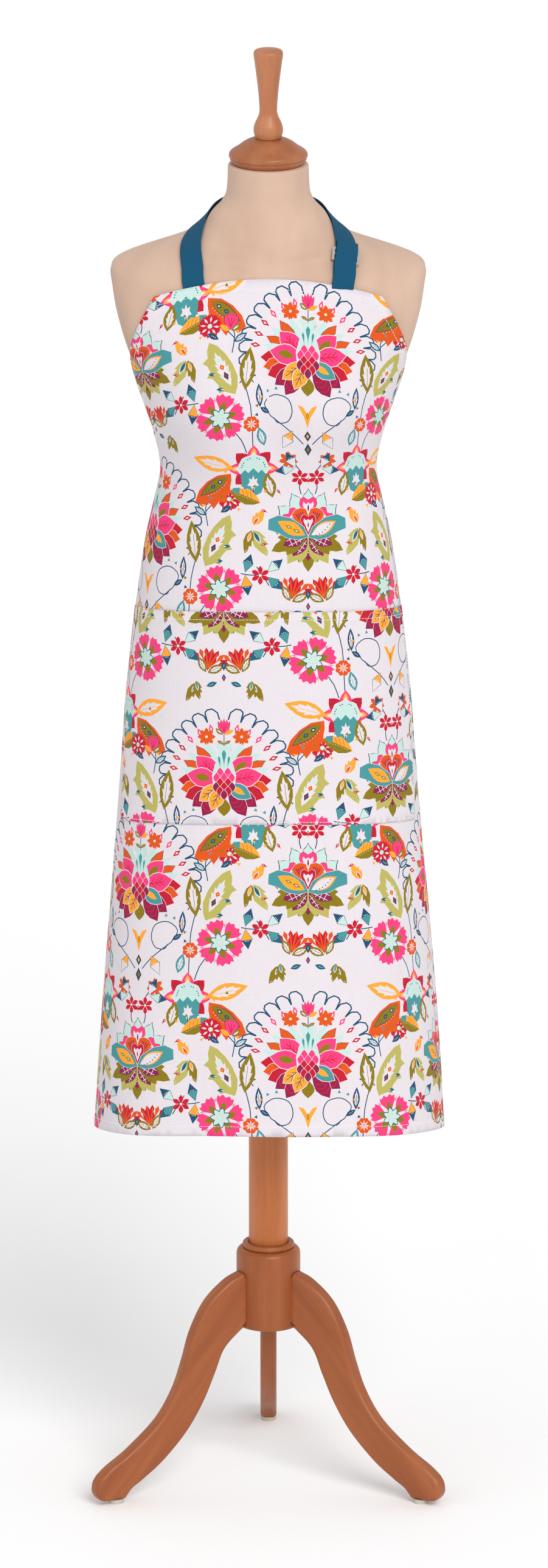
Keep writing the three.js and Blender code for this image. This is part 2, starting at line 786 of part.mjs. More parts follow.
// A closed sheet of even thickness over a grid of worn-cloth places.
function clothSheet(levels, halfWidthAt, columns, innerOffset, thickness) {
  const rows = levels.map((height) => {
    const front = [];
    const back = [];
    for (let i = 0; i <= columns; i++) {
      const distance = ((2 * i) / columns - 1) * halfWidthAt(height);
      front.push(clothPoint(distance, height, innerOffset + thickness));
      back.push(clothPoint(distance, height, innerOffset));
    }
    return [...front, ...back.reverse()];
  });
  return sheetLoft(rows);
}

function levelsBetween(top, bottom, steps) {
  return Array.from({ length: steps + 1 }, (_, i) => top + ((bottom - top) * i) / steps);
}

const bibLevels = levelsBetween(bibTop, waistLevel, 10);
const skirtLevels = levelsBetween(waistLevel, hemHeight, 12);
const apronLevels = [...bibLevels, ...skirtLevels.slice(1)];
const apronHalfWidth = (height) => smoothRow(clothHalfWidths, height)[0];
const panelSheet = clothSheet(apronLevels, apronHalfWidth, 24, clothClearance, clothThickness);
add("apron_panel", panelSheet, printedCotton);

const pocketOffset = clothClearance + clothThickness + pocketStandOff;
const pocketLevels = levelsBetween(pocketTop, pocketBottom, 7);
const pocketSheet = clothSheet(pocketLevels, () => pocketHalfWidth, 16, pocketOffset, clothThickness);
add("apron_pocket", pocketSheet, printedCotton);

// Webbing that lies on the torso along [azimuth in degrees, height] places.
function webbingOnTorso(route, lift, steps) {
  const corners = route.map(([azimuth, height]) => new THREE.Vector3(azimuth, height, 0));
  const curve = new THREE.CatmullRomCurve3(corners);
  const places = curve.getPoints(steps).map(({ x, y }) => [THREE.MathUtils.degToRad(x), y]);
  const points = places.map(([azimuth, height], i) =>
    offsetPoint(torsoSections, azimuth, height, lift(i / steps) + webbingThickness / 2));
  const widthDirections = points.map((point, i) => {
    const tangent = points[Math.min(i + 1, steps)].clone().sub(points[Math.max(i - 1, 0)]);
    return bodyNormal(torsoSections, ...places[i]).cross(tangent).normalize();
  });
  return { points, widthDirections, places };
}

// The long strap runs from the left bib corner round the nape to the right bib corner.
const otherWay = strapRoute.slice(0, -1).reverse().map(([azimuth, height]) => [azimuth - 360, height]);
const leftHalf = strapRoute.map(([azimuth, height]) => [-azimuth, height]);
const strap = webbingOnTorso([...leftHalf, ...otherWay], () => strapLift, 44);
add("neck_strap_long", ribbon(strap.points, strap.widthDirections, webbingWidth, webbingThickness), webbing);

// The end that is turned back over the slider and sewn to the right bib corner.
const sliderLift = strapLift + webbingThickness + fitGap;
const returnLift = sliderLift + sliderThickness + 2.7;
const sewnLift = strapLift + webbingThickness + 2 * fitGap;
const returnStrap = webbingOnTorso(returnRoute,
  (part) => returnLift + (sewnLift - returnLift) * THREE.MathUtils.smoothstep(part, 0.58, 1), 10);
const { points: returnPoints, widthDirections: returnAcross } = returnStrap;
const returnRibbon = ribbon(returnPoints, returnAcross, webbingWidth, webbingThickness);
add("neck_strap_return", returnRibbon, webbing);

// Slider: a flat metal frame with a middle bar, lying between the strap and its turned-back end.
function sliderGeometry() {
  const shape = new THREE.Shape([
    new THREE.Vector2(-sliderWidth / 2, -sliderLength / 2),
    new THREE.Vector2(sliderWidth / 2, -sliderLength / 2),
    new THREE.Vector2(sliderWidth / 2, sliderLength / 2),
    new THREE.Vector2(-sliderWidth / 2, sliderLength / 2),
  ]);
  const slotHeight = (sliderLength - 3 * sliderBar) / 2;
  const slotWidth = sliderWidth - 2 * sliderBar;
  for (const centre of [-1, 1].map((side) => (side * (slotHeight + sliderBar)) / 2)) {
    shape.holes.push(new THREE.Path([
      new THREE.Vector2(-slotWidth / 2, centre - slotHeight / 2),
      new THREE.Vector2(-slotWidth / 2, centre + slotHeight / 2),
      new THREE.Vector2(slotWidth / 2, centre + slotHeight / 2),
      new THREE.Vector2(slotWidth / 2, centre - slotHeight / 2),
    ]));
  }
  return weld(new THREE.ExtrudeGeometry(shape, { depth: sliderThickness, bevelEnabled: false }));
}
const sliderIndex = Math.round((1 - sliderAt) * 44);
const sliderAlong = strap.points[sliderIndex + 1].clone().sub(strap.points[sliderIndex - 1]).normalize();
const sliderAcross = strap.widthDirections[sliderIndex].clone();
const sliderOut = sliderAlong.clone().cross(sliderAcross).normalize();
sliderAcross.copy(sliderAlong).cross(sliderOut);
const slider = add("strap_slider", sliderGeometry(), nickel);
slider.quaternion.setFromRotationMatrix(new THREE.Matrix4().makeBasis(sliderAcross, sliderAlong, sliderOut));
slider.position.copy(strap.points[sliderIndex]).addScaledVector(sliderOut, webbingThickness / 2 + 2 * fitGap);

// ---- Waist ties and the bow at the back -----------------------------------------------------------------
const tieCornerAzimuth = azimuthAt(clothSections, waistTieHeight, tieCornerDistance) * THREE.MathUtils.RAD2DEG;
const tieStartAzimuth = tieCornerAzimuth + 1.2;
for (const [side, sign] of [["left", -1], ["right", 1]]) {
  const route = levelsBetween(0, 1, 6).map((part) =>
    [sign * (tieStartAzimuth + (tieEndAzimuth - tieStartAzimuth) * part), waistTieHeight + 5 * part]);
  const tie = webbingOnTorso(route, () => tieLift, 12);
  add(`waist_tie_${side}`, ribbon(tie.points, tie.widthDirections, webbingWidth, webbingThickness), webbing);
}

const knotHeightAt = waistTieHeight + 5;
const backOfTies = bodyPoint(torsoSections, Math.PI, knotHeightAt).y + tieLift + webbingThickness;
const knotBack = backOfTies + fitGap + 0.3;
const knotOval = new THREE.EllipseCurve(0, 0, knotWidth / 2, knotDepth / 2);
const knotShape = new THREE.Shape(knotOval.getPoints(16).slice(0, -1));
const knotGeometry = new THREE.ExtrudeGeometry(knotShape, {
  depth: knotHeight - 8,
  bevelThickness: 4,
  bevelSize: 3,
  bevelOffset: -3,
  bevelSegments: 2,
}).translate(0, knotBack + knotDepth / 2, knotHeightAt - knotHeight / 2 + 4);
add("bow_knot", weld(knotGeometry), webbing);

for (const [side, sign] of [["left", -1], ["right", 1]]) {
  const out = new THREE.Vector3(sign * Math.cos(bowDroop), 0, -Math.sin(bowDroop));
  const start = new THREE.Vector3(sign * (knotWidth / 2 + 2.6), knotBack + knotDepth / 2 + 1.5, knotHeightAt);
  const curve = new THREE.CatmullRomCurve3(bowProfile.map(([reach, depth]) =>
    start.clone().addScaledVector(out, reach * bowLoopLength).add(new THREE.Vector3(0, depth, 0))));
  const points = curve.getPoints(28);
  const across = new THREE.Vector3(sign * Math.sin(bowDroop), 0, Math.cos(bowDroop));
  add(`bow_loop_${side}`, ribbon(points, points.map(() => across), webbingWidth, webbingThickness), webbing);
}

// Each tail leaves the knot's underside, falls over the hips and hangs free.
for (const [side, sign, length] of [["left", -1, tieTailLength], ["right", 1, tieTailLength * 0.9]]) {
  const points = levelsBetween(0, 1, 14).map((part) => {
    const height = knotHeightAt - knotHeight / 2 - 1.2 - length * part;
    const azimuth = Math.PI - sign * (tailTurnPerWidth * webbingWidth + 0.2 * part);
    return offsetPoint(torsoSections, azimuth, height, 5.2 + 3 * Math.sin(Math.PI * part));
  });
  const across = points.map(() => new THREE.Vector3(1, -0.1 * sign, 0));
  add(`tie_tail_${side}`, ribbon(points, across, webbingWidth, webbingThickness), webbing);
}

// ---- Origin: the middle of the footprint ----------------------------------------------------------------
group.updateMatrixWorld(true);
const extent = new THREE.Box3().setFromObject(group, true);
group.position.set(-(extent.min.x + extent.max.x) / 2, -(extent.min.y + extent.max.y) / 2, -extent.min.z);

export default group;
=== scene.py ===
import json
import math

import bmesh
import bpy
import numpy as np
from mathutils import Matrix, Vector
from mathutils.geometry import delaunay_2d_cdt


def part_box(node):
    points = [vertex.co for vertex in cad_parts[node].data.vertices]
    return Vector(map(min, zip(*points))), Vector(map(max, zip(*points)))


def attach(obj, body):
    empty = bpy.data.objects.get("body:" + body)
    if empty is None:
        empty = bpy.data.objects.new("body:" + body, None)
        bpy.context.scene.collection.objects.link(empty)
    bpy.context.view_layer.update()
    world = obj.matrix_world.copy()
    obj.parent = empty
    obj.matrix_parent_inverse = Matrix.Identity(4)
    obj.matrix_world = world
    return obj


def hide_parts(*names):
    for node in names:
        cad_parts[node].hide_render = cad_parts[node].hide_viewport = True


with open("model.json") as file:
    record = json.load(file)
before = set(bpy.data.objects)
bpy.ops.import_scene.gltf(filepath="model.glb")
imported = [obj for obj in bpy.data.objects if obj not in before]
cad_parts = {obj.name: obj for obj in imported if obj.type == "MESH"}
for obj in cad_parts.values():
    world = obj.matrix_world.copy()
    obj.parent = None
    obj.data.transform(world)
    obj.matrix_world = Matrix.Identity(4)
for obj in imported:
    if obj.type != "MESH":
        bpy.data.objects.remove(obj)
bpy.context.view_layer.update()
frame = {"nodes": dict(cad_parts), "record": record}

MM = 0.001
AXIS_Y = sum(corner.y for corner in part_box("column")) / 2   # the stand's vertical axis, at X = 0


# ---- Camera ------------------------------------------------------------------------------------
def make_camera():
    data = bpy.data.cameras.new("camera")
    camera = bpy.data.objects.new("camera", data)
    bpy.context.scene.collection.objects.link(camera)
    data.lens = 353
    data.sensor_width = 36
    data.clip_end = 100
    aim = Vector((0.0065, AXIS_Y, 0.836))
    camera.location = (aim.x, AXIS_Y - 17.0, 5.69)
    camera.rotation_euler = (aim - camera.location).to_track_quat("-Z", "Y").to_euler()
    bpy.context.scene.camera = camera


make_camera()


# ---- Mesh helpers ------------------------------------------------------------------------------
def make_piece(name, vertices, faces, body, material, smooth=True):
    mesh = bpy.data.meshes.new(name)
    mesh.from_pydata([tuple(v) for v in vertices], [], [tuple(f) for f in faces])
    mesh.update()
    piece = bpy.data.objects.new(name, mesh)
    bpy.context.scene.collection.objects.link(piece)
    mesh.polygons.foreach_set("use_smooth", [smooth] * len(mesh.polygons))
    mesh.materials.append(material)
    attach(piece, body)
    return piece


def set_vectors(piece, name, values):
    """Stores one vector for each vertex, for materials that follow a piece's own directions."""
    layer = piece.data.attributes.new(name, "FLOAT_VECTOR", "POINT")
    layer.data.foreach_set("vector", np.asarray(values, np.float32).ravel())


def grid_faces(rows, columns, wrap):
    """Faces of a grid of rows and columns, the columns wrapping round when wrap is true."""
    faces = []
    for i in range(rows - 1):
        for j in range(columns if wrap else columns - 1):
            k = (j + 1) % columns
            faces.append((i * columns + j, i * columns + k, (i + 1) * columns + k, (i + 1) * columns + j))
    return faces


def smooth_rows(rows, heights):
    """Values of a smooth curve through rows of (height, values...), one line for each height asked for."""
    table = np.array(rows, float)
    table = table[np.argsort(table[:, 0])]
    at = table[:, 0]
    slopes = np.empty_like(table[:, 1:])
    slopes[1:-1] = (table[2:, 1:] - table[:-2, 1:]) / (at[2:] - at[:-2])[:, None]
    slopes[0] = (table[1, 1:] - table[0, 1:]) / (at[1] - at[0])
    slopes[-1] = (table[-1, 1:] - table[-2, 1:]) / (at[-1] - at[-2])
    heights = np.atleast_1d(np.asarray(heights, float))
    i = np.clip(np.searchsorted(at, heights, side="right") - 1, 0, len(at) - 2)
    span = at[i + 1] - at[i]
    part = np.clip((heights - at[i]) / span, 0, 1)[:, None]
    span = span[:, None]
    square, cube = part**2, part**3
    return ((2 * cube - 3 * square + 1) * table[i, 1:] + (cube - 2 * square + part) * span * slopes[i]
            + (3 * square - 2 * cube) * table[i + 1, 1:] + (cube - square) * span * slopes[i + 1])


# ---- The dress form's surface ------------------------------------------------------------------
# Millimetres, about the stand's axis.
# Height, half width, depth to the front, depth to the back, squareness.
TORSO_SECTIONS = [
    (826, 152, 101, 104, 2.15),
    (907, 158, 106, 112, 2.2),
    (951, 158, 107, 115, 2.2),
    (1038, 150, 105, 114, 2.2),
    (1124, 138, 98, 100, 2.15),
    (1168, 129, 94, 88, 2.1),
    (1211, 120, 92, 80, 2.1),
    (1254, 127, 96, 86, 2.15),
    (1297, 140.5, 102, 97, 2.3),
    (1334, 152.5, 102, 103, 2.5),
    (1369, 164.5, 97, 104, 2.8),
    (1403, 173.5, 90, 101, 3),
    (1424, 177, 85, 97, 3),
    (1446, 179.2, 79, 91, 2.7),
    (1455, 176.8, 76, 88, 2.35),
    (1463, 165, 72.5, 85, 2.1),
    (1472, 141, 69, 81, 1.95),
    (1480, 114, 66, 78, 1.95),
    (1489, 90, 62, 73, 2),
    (1500, 74, 58, 67, 2),
    (1514, 64, 55, 60, 2),
    (1524, 54.5, 52, 55, 2),
    (1535, 48.4, 49, 50.5, 2),
    (1548, 46.7, 47.4, 48, 2),
    (1566, 46, 46, 46, 2),
]
SKIRT_SECTIONS = [
    (400, 199.5, 140, 104, 2.3),
    (513, 193.6, 136, 106, 2.3),
    (601, 187.7, 131, 108, 2.25),
    (689, 180.4, 126, 110, 2.25),
    (776, 172.8, 120, 112, 2.2),
    (864, 165.9, 114, 114, 2.2),
    (951, 159.5, 110, 117, 2.2),
]
CLOTH_SECTIONS = SKIRT_SECTIONS + [row for row in TORSO_SECTIONS if row[0] >= 1038]
BREAST_AZIMUTH = math.radians(33)
BREAST_HEIGHT = 1296
BREAST_RISE = 15
BREAST_SPREAD = math.radians(24)
BREAST_SPREAD_HEIGHT = 56


def body_radius(sections, azimuth, height):
    """Distance from the axis to the surface, for arrays of azimuth (from the front) and height."""
    azimuth, height = np.broadcast_arrays(np.asarray(azimuth, float), np.asarray(height, float))
    rows = smooth_rows(sections, height.ravel())
    half_width, front, back, squareness = (column.reshape(height.shape) for column in rows.T)
    depth = np.where(np.cos(azimuth) > 0, front, back)
    across = np.abs(np.sin(azimuth) / half_width) ** squareness
    along = np.abs(np.cos(azimuth) / depth) ** squareness
    side = np.abs(np.arctan2(np.sin(azimuth), np.cos(azimuth)))
    sideways = (side - BREAST_AZIMUTH) / BREAST_SPREAD
    upwards = (height - BREAST_HEIGHT) / BREAST_SPREAD_HEIGHT
    return (across + along) ** (-1 / squareness) + BREAST_RISE * np.exp(-sideways**2 - upwards**2)


def body_point(sections, azimuth, height):
    radius = body_radius(sections, azimuth, height)
    return np.stack([radius * np.sin(azimuth), -radius * np.cos(azimuth), height + 0 * radius], -1)


def body_normal(sections, azimuth, height):
    turn, rise = 0.02, 2.0
    around = body_point(sections, azimuth + turn, height) - body_point(sections, azimuth - turn, height)
    upward = body_point(sections, azimuth, height + rise) - body_point(sections, azimuth, height - rise)
    normal = np.cross(around, upward)
    return normal / np.linalg.norm(normal, axis=-1, keepdims=True)


class ArcTable:
    """Turns a distance along a section, from the middle of the front, into an azimuth."""

    def __init__(self, sections, low, high):
        self.heights = np.linspace(low, high, 260)
        self.turns = np.linspace(0, math.pi, 500)
        points = body_point(sections, self.turns[None, :], self.heights[:, None])
        steps = np.linalg.norm(np.diff(points, axis=1), axis=2)
        self.lengths = np.concatenate([np.zeros((len(self.heights), 1)), np.cumsum(steps, axis=1)], axis=1)
        self.even = np.linspace(0, 1, 500)
        self.girth = self.lengths[:, -1]
        self.table = np.array([np.interp(self.even * line[-1], line, self.turns) for line in self.lengths])

    def half_girth(self, height):
        return np.interp(height, self.heights, self.girth)

    def azimuth(self, distance, height):
        place = np.clip((height - self.heights[0]) / (self.heights[1] - self.heights[0]), 0, 258.999)
        share = np.clip(np.abs(distance) / self.half_girth(height), 0, 0.9999) * 499
        i, j = place.astype(int), share.astype(int)
        a, b = place - i, share - j
        low = self.table[i, j] * (1 - b) + self.table[i, j + 1] * b
        high = self.table[i + 1, j] * (1 - b) + self.table[i + 1, j + 1] * b
        return np.sign(distance) * (low * (1 - a) + high * a)


def in_frame(points):
    """Millimetres about the stand's axis to metres in the frame."""
    points = np.asarray(points, float) * MM
    return points + np.array([0, AXIS_Y, 0])


# ---- Materials ---------------------------------------------------------------------------------
def linear(red, green, blue):
    """A colour given as it looks on a screen, 0 to 255, as the linear values that shaders take."""
    values = [channel / 255 for channel in (red, green, blue)]
    return tuple(v / 12.92 if v <= 0.04045 else ((v + 0.055) / 1.055) ** 2.4 for v in values) + (1.0,)


class Look:
    """A node material that is built by naming nodes and linking sockets."""

    def __init__(self, name, roughness, metallic=0.0, **settings):
        self.material = bpy.data.materials.new(name)
        self.material.use_nodes = True
        self.tree = self.material.node_tree
        self.shader = self.tree.nodes["Principled BSDF"]
        self.shader.inputs["Roughness"].default_value = roughness
        self.shader.inputs["Metallic"].default_value = metallic
        for key, value in settings.items():
            self.shader.inputs[key.replace("_", " ")].default_value = value

    def node(self, kind, **settings):
        made = self.tree.nodes.new("ShaderNode" + kind)
        for key, value in settings.items():
            if key.startswith("in_"):
                label = key[3:].replace("_", " ")
                socket = made.inputs[int(label) if label.isdigit() else label]
                if isinstance(value, bpy.types.NodeSocket):
                    self.tree.links.new(value, socket)
                else:
                    socket.default_value = value
            else:
                setattr(made, key, value)
        return made

    def math(self, operation, first, second=0.0, third=0.0):
        return self.node("Math", operation=operation, in_0=first, in_1=second, in_2=third).outputs[0]

    def places(self, attribute, scale):
        """An attribute's vector, scaled along each of its axes."""
        source = self.node("Attribute", attribute_name=attribute)
        return self.node("Mapping", in_Vector=source.outputs["Vector"], in_Scale=scale).outputs[0]

    def noise(self, vector, scale, detail=2.0, roughness=0.5):
        return self.node("TexNoise", in_Vector=vector, in_Scale=scale, in_Detail=detail,
                         in_Roughness=roughness).outputs["Fac"]

    def ramp(self, value, stops):
        made = self.node("ValToRGB", in_Fac=value)
        elements = made.color_ramp.elements
        while len(elements) < len(stops):
            elements.new(0.5)
        for element, (place, colour) in zip(elements, stops):
            element.position = place
            element.color = colour
        return made.outputs["Color"]

    def mix(self, factor, first, second, blend="MIX"):
        made = self.node("Mix", data_type="RGBA", blend_type=blend)
        for socket, value in zip((made.inputs[0], made.inputs[6], made.inputs[7]), (factor, first, second)):
            if isinstance(value, bpy.types.NodeSocket):
                self.tree.links.new(value, socket)
            else:
                socket.default_value = value
        return made.outputs[2]

    def colour(self, source):
        self.tree.links.new(source, self.shader.inputs["Base Color"])

    def rough(self, source):
        self.tree.links.new(source, self.shader.inputs["Roughness"])

    def bump(self, height, strength, distance):
        made = self.node("Bump", in_Height=height, in_Strength=strength, in_Distance=distance)
        self.tree.links.new(made.outputs[0], self.shader.inputs["Normal"])


def beech_look(name, *tone):
    """Lacquered red beech: soft long streaks, fine short flecks and pores along the grain."""
    look = Look(name, 0.42, Coat_Weight=0.12, Coat_Roughness=0.25, Specular_IOR_Level=0.3)

    def shade(*colour):
        return linear(*(value * part for value, part in zip(colour, tone)))

    broad = look.noise(look.places("Grain", (0.0035, 0.035, 0.035)), 1.0, 4.0, 0.55)
    fine = look.noise(look.places("Grain", (0.02, 0.5, 0.5)), 1.0, 3.0, 0.6)
    fleck = look.noise(look.places("Grain", (0.34, 1.9, 1.9)), 1.0, 1.5, 0.5)
    tones = [(0.28, shade(163, 94, 54)), (0.5, shade(180, 109, 68)), (0.74, shade(198, 127, 84))]
    base = look.ramp(broad, tones)
    base = look.mix(look.math("MULTIPLY", fine, 0.42), base, shade(136, 68, 36))
    dark = look.ramp(fleck, [(0.6, (0, 0, 0, 1)), (0.72, (1, 1, 1, 1))])
    base = look.mix(look.math("MULTIPLY", dark, 0.38), base, shade(112, 58, 32))
    look.colour(base)
    look.rough(look.math("MULTIPLY_ADD", fine, 0.22, 0.3))
    look.bump(look.math("SUBTRACT", fine, look.math("MULTIPLY", dark, 0.4)), 0.12, 0.0004)
    return look.material


def jersey_look():
    """Fine beige jersey: stitch columns and rows about 0.8 mm apart, faint slubs."""
    look = Look("jersey", 0.88, Sheen_Weight=0.12, Sheen_Roughness=0.5, Specular_IOR_Level=0.2)
    place = look.node("SeparateXYZ", in_Vector=look.places("Cloth", (1, 1, 1))).outputs
    wales = look.math("SINE", look.math("MULTIPLY", place[0], 2 * math.pi / 0.9))
    slant = look.math("MULTIPLY", look.math("ABSOLUTE", wales), 0.25)
    rows = look.math("SINE", look.math("MULTIPLY", look.math("ADD", place[1], slant), 2 * math.pi / 0.75))
    knit = look.math("ADD", look.math("MULTIPLY", wales, 0.5), look.math("MULTIPLY", rows, 0.5))
    soft = look.noise(look.places("Cloth", (0.02, 0.012, 0.02)), 1.0, 3.0, 0.5)
    slub = look.noise(look.places("Cloth", (0.9, 0.05, 0.9)), 1.0, 2.0, 0.6)
    base = look.ramp(soft, [(0.3, linear(195, 164, 144)), (0.7, linear(208, 178, 158))])
    base = look.mix(look.math("MULTIPLY", slub, 0.12), base, linear(178, 143, 120))
    shade = look.math("MULTIPLY_ADD", knit, 0.035, 0.04)
    look.colour(look.mix(shade, base, linear(166, 131, 108)))
    look.bump(knit, 0.35, 0.0002)
    return look.material


def cotton_look(name, printed):
    """Plain-woven cotton, about 20 threads to the centimetre; the print comes from the mesh's colours."""
    look = Look(name, 0.85, Sheen_Weight=0.04, Sheen_Roughness=0.6, Specular_IOR_Level=0.25)
    place = look.node("SeparateXYZ", in_Vector=look.places("Cloth", (1, 1, 1))).outputs
    warp = look.math("SINE", look.math("MULTIPLY", place[0], 2 * math.pi / 1.0))
    weft = look.math("SINE", look.math("MULTIPLY", place[1], 2 * math.pi / 1.0))
    weave = look.math("MULTIPLY", warp, weft)
    slub_warp = look.noise(look.places("Cloth", (1.3, 0.03, 1)), 1.0, 2.0, 0.5)
    slub_weft = look.noise(look.places("Cloth", (0.03, 1.3, 1)), 1.0, 2.0, 0.5)
    slub = look.math("ADD", slub_warp, slub_weft)
    if printed:
        base = look.node("Attribute", attribute_name="Print").outputs["Color"]
    else:
        plain = linear(236, 229, 234)
        base = look.mix(0.0, plain, plain)
    shade = look.math("MULTIPLY_ADD", look.math("SUBTRACT", slub, 1.0), 0.16, 0.03)
    base = look.mix(shade, base, (0.33, 0.28, 0.31, 1), "MULTIPLY")
    threads = look.math("MULTIPLY_ADD", weave, 0.02, 0.02)
    look.colour(look.mix(threads, base, (0.42, 0.38, 0.4, 1), "MULTIPLY"))
    look.bump(look.math("ADD", look.math("MULTIPLY", weave, 0.6), slub), 0.3, 0.00018)
    return look.material


def webbing_look():
    """Teal webbing with a herringbone rib; Cloth holds the place along and across it in millimetres."""
    look = Look("webbing", 0.8, Sheen_Weight=0.02, Sheen_Roughness=0.5, Specular_IOR_Level=0.18)
    place = look.node("SeparateXYZ", in_Vector=look.places("Cloth", (1, 1, 1))).outputs
    zigzag = look.math("PINGPONG", look.math("ADD", place[1], 50.0), 3.1)
    ribs = look.math("SINE", look.math("MULTIPLY", look.math("ADD", place[0], zigzag), 2 * math.pi / 1.6))
    threads = look.math("SINE", look.math("MULTIPLY", place[1], 2 * math.pi / 0.62))
    fibre = look.noise(look.places("Cloth", (0.5, 2.5, 1)), 1.0, 3.0, 0.6)
    weave = look.math("ADD", look.math("MULTIPLY", ribs, 0.6), look.math("MULTIPLY", threads, 0.3))
    base = look.ramp(look.math("MULTIPLY_ADD", weave, 0.35, 0.5),
                     [(0.1, linear(4, 56, 84)), (0.55, linear(13, 82, 114)), (0.95, linear(32, 108, 140))])
    look.colour(look.mix(look.math("MULTIPLY", fibre, 0.3), base, linear(6, 54, 82)))
    look.bump(weave, 0.5, 0.00035)
    return look.material


def thread_look():
    look = Look("thread", 0.6, Sheen_Weight=0.2, Specular_IOR_Level=0.35)
    fibre = look.noise(look.places("Cloth", (0.8, 3.0, 3.0)), 1.0, 2.0)
    look.colour(look.ramp(fibre, [(0.3, linear(232, 226, 228)), (0.7, linear(250, 247, 248))]))
    return look.material


def metal_look(name, dark, light, roughness, brushed):
    """Plated metal with faint brushing or handling marks."""
    look = Look(name, roughness, 1.0)
    place = look.node("TexCoord").outputs["Object"]
    stretched = look.node("Mapping", in_Vector=place, in_Scale=brushed).outputs[0]
    marks = look.noise(stretched, 1.0, 4.0, 0.6)
    look.colour(look.ramp(marks, [(0.3, linear(*dark)), (0.7, linear(*light))]))
    look.rough(look.math("MULTIPLY_ADD", marks, 0.2, roughness - 0.08))
    look.bump(marks, 0.06, 0.0002)
    return look.material


def grained_look(name, dark, light, roughness, scale, bump=0.2):
    """Moulded plastic, felt or board: two tones in an even fine grain."""
    look = Look(name, roughness, Specular_IOR_Level=0.35)
    place = look.node("TexCoord").outputs["Object"]
    grain = look.noise(place, scale, 5.0, 0.65)
    look.colour(look.ramp(grain, [(0.35, linear(*dark)), (0.65, linear(*light))]))
    look.rough(look.math("MULTIPLY_ADD", grain, 0.25, roughness - 0.12))
    look.bump(grain, bump, 0.0004)
    return look.material


BEECH = beech_look("beech_stand", 0.88, 0.81, 0.68)
# The column's copy of the beech is lighter all over: painted light, standing in for the highlight down its
# front and making up for the shade the apron's skirt casts on it.
COLUMN_BEECH_PAINTED_LIGHT = beech_look("beech_column_painted_light", 1.1, 1.1, 1.0)
FINIAL_BEECH = beech_look("beech_finial", 1.02, 1.08, 1.16)
CAP_BEECH = beech_look("beech_cap", 0.92, 0.92, 0.9)
JERSEY = jersey_look()
PRINTED = cotton_look("printed_cotton", True)
PLAIN = cotton_look("plain_cotton", False)
WEBBING = webbing_look()
THREAD = thread_look()
STEEL = metal_look("zinc_plate", (140, 140, 143), (176, 176, 178), 0.34, (300, 300, 6000))
NICKEL = metal_look("nickel", (196, 192, 186), (222, 219, 214), 0.2, (900, 900, 900))
BLACK_PLASTIC = grained_look("black_plastic", (30, 30, 32), (46, 46, 48), 0.5, 1800)
SHELL_PLASTIC = grained_look("shell_plastic", (208, 200, 186), (222, 216, 204), 0.6, 500)
FELT = grained_look("felt", (172, 164, 152), (206, 198, 186), 0.95, 1400, 0.6)
BOARD = grained_look("board", (162, 122, 82), (190, 152, 108), 0.7, 220)


# ---- Wooden pieces -----------------------------------------------------------------------------
def outer_profile(node):
    """Largest radius about the stand's axis at each height of a turned CAD node, in millimetres, upwards."""
    widest = {}
    for vertex in frame["nodes"][node].data.vertices:
        height = round(vertex.co.z / MM, 1)
        radius = math.hypot(vertex.co.x, vertex.co.y - AXIS_Y) / MM
        widest[height] = max(radius, widest.get(height, 0))
    return [(radius, height) for height, radius in sorted(widest.items())]


def spline(points, steps):
    """Points of a smooth curve through the given ones, with a number of steps between neighbours."""
    points = np.array(points, float)
    padded = np.vstack([2 * points[0] - points[1], points, 2 * points[-1] - points[-2]])
    result = []
    for i in range(len(points) - 1):
        a, b, c, d = padded[i:i + 4]
        for k in range(steps):
            t = k / steps
            result.append(0.5 * (2 * b + (c - a) * t + (2 * a - 5 * b + 4 * c - d) * t**2
                                 + (3 * b - a - 3 * c + d) * t**3))
    result.append(points[-1])
    return np.array(result)


def soft_corners(outline, size=0.8):
    """Cuts every corner of an outline of (radius, height) by a small amount at both sides of it."""
    result = [outline[0]]
    for before, here, after in zip(outline, outline[1:], outline[2:]):
        here = np.array(here, float)
        for other in (before, after):
            way = np.array(other, float) - here
            length = np.linalg.norm(way)
            result.append(tuple(here + way * min(size, length * 0.3) / length))
    result.append(outline[-1])
    return result


def turned_piece(name, outline, body, stands_for, sides=96, wood=BEECH):
    """A turned wooden piece; the outline runs from the axis at its foot to the axis at its top."""
    turns = np.linspace(0, 2 * math.pi, sides, endpoint=False)
    rings = [[(r * math.sin(a), -r * math.cos(a), z) for a in turns] for r, z in outline[1:-1]]
    ends = [(0, 0, outline[0][1]), (0, 0, outline[-1][1])]
    points = np.array([point for ring in rings for point in ring] + ends)
    faces = grid_faces(len(rings), sides, True)
    foot, top, last = len(points) - 2, len(points) - 1, (len(rings) - 1) * sides
    for j in range(sides):
        k = (j + 1) % sides
        faces.append((foot, k, j))
        faces.append((top, last + j, last + k))
    piece = make_piece(name, in_frame(points), faces, body, wood)
    set_vectors(piece, "Grain", points[:, [2, 0, 1]] + np.array([len(name) * 137.0, 0, 40]))
    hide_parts(stands_for)
    return piece


def bored_piece(name, loop, node, wood=BEECH, sides=96):
    """A turned wooden piece with a bore right through it, from a closed loop of (radius, height)."""
    loop = soft_corners([loop[-1]] + loop + [loop[0]], 0.8)[1:-1]
    turns = np.linspace(0, 2 * math.pi, sides, endpoint=False)
    points = np.array([(r * math.sin(a), -r * math.cos(a), z) for r, z in loop for a in turns])
    faces = grid_faces(len(loop), sides, True)
    last = (len(loop) - 1) * sides
    faces += [(last + j, last + (j + 1) % sides, (j + 1) % sides, j) for j in range(sides)]
    piece = make_piece(name, in_frame(points), faces, "stand", wood)
    set_vectors(piece, "Grain", points[:, [2, 0, 1]] + np.array([len(name) * 137.0, 0, 40]))
    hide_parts(node)


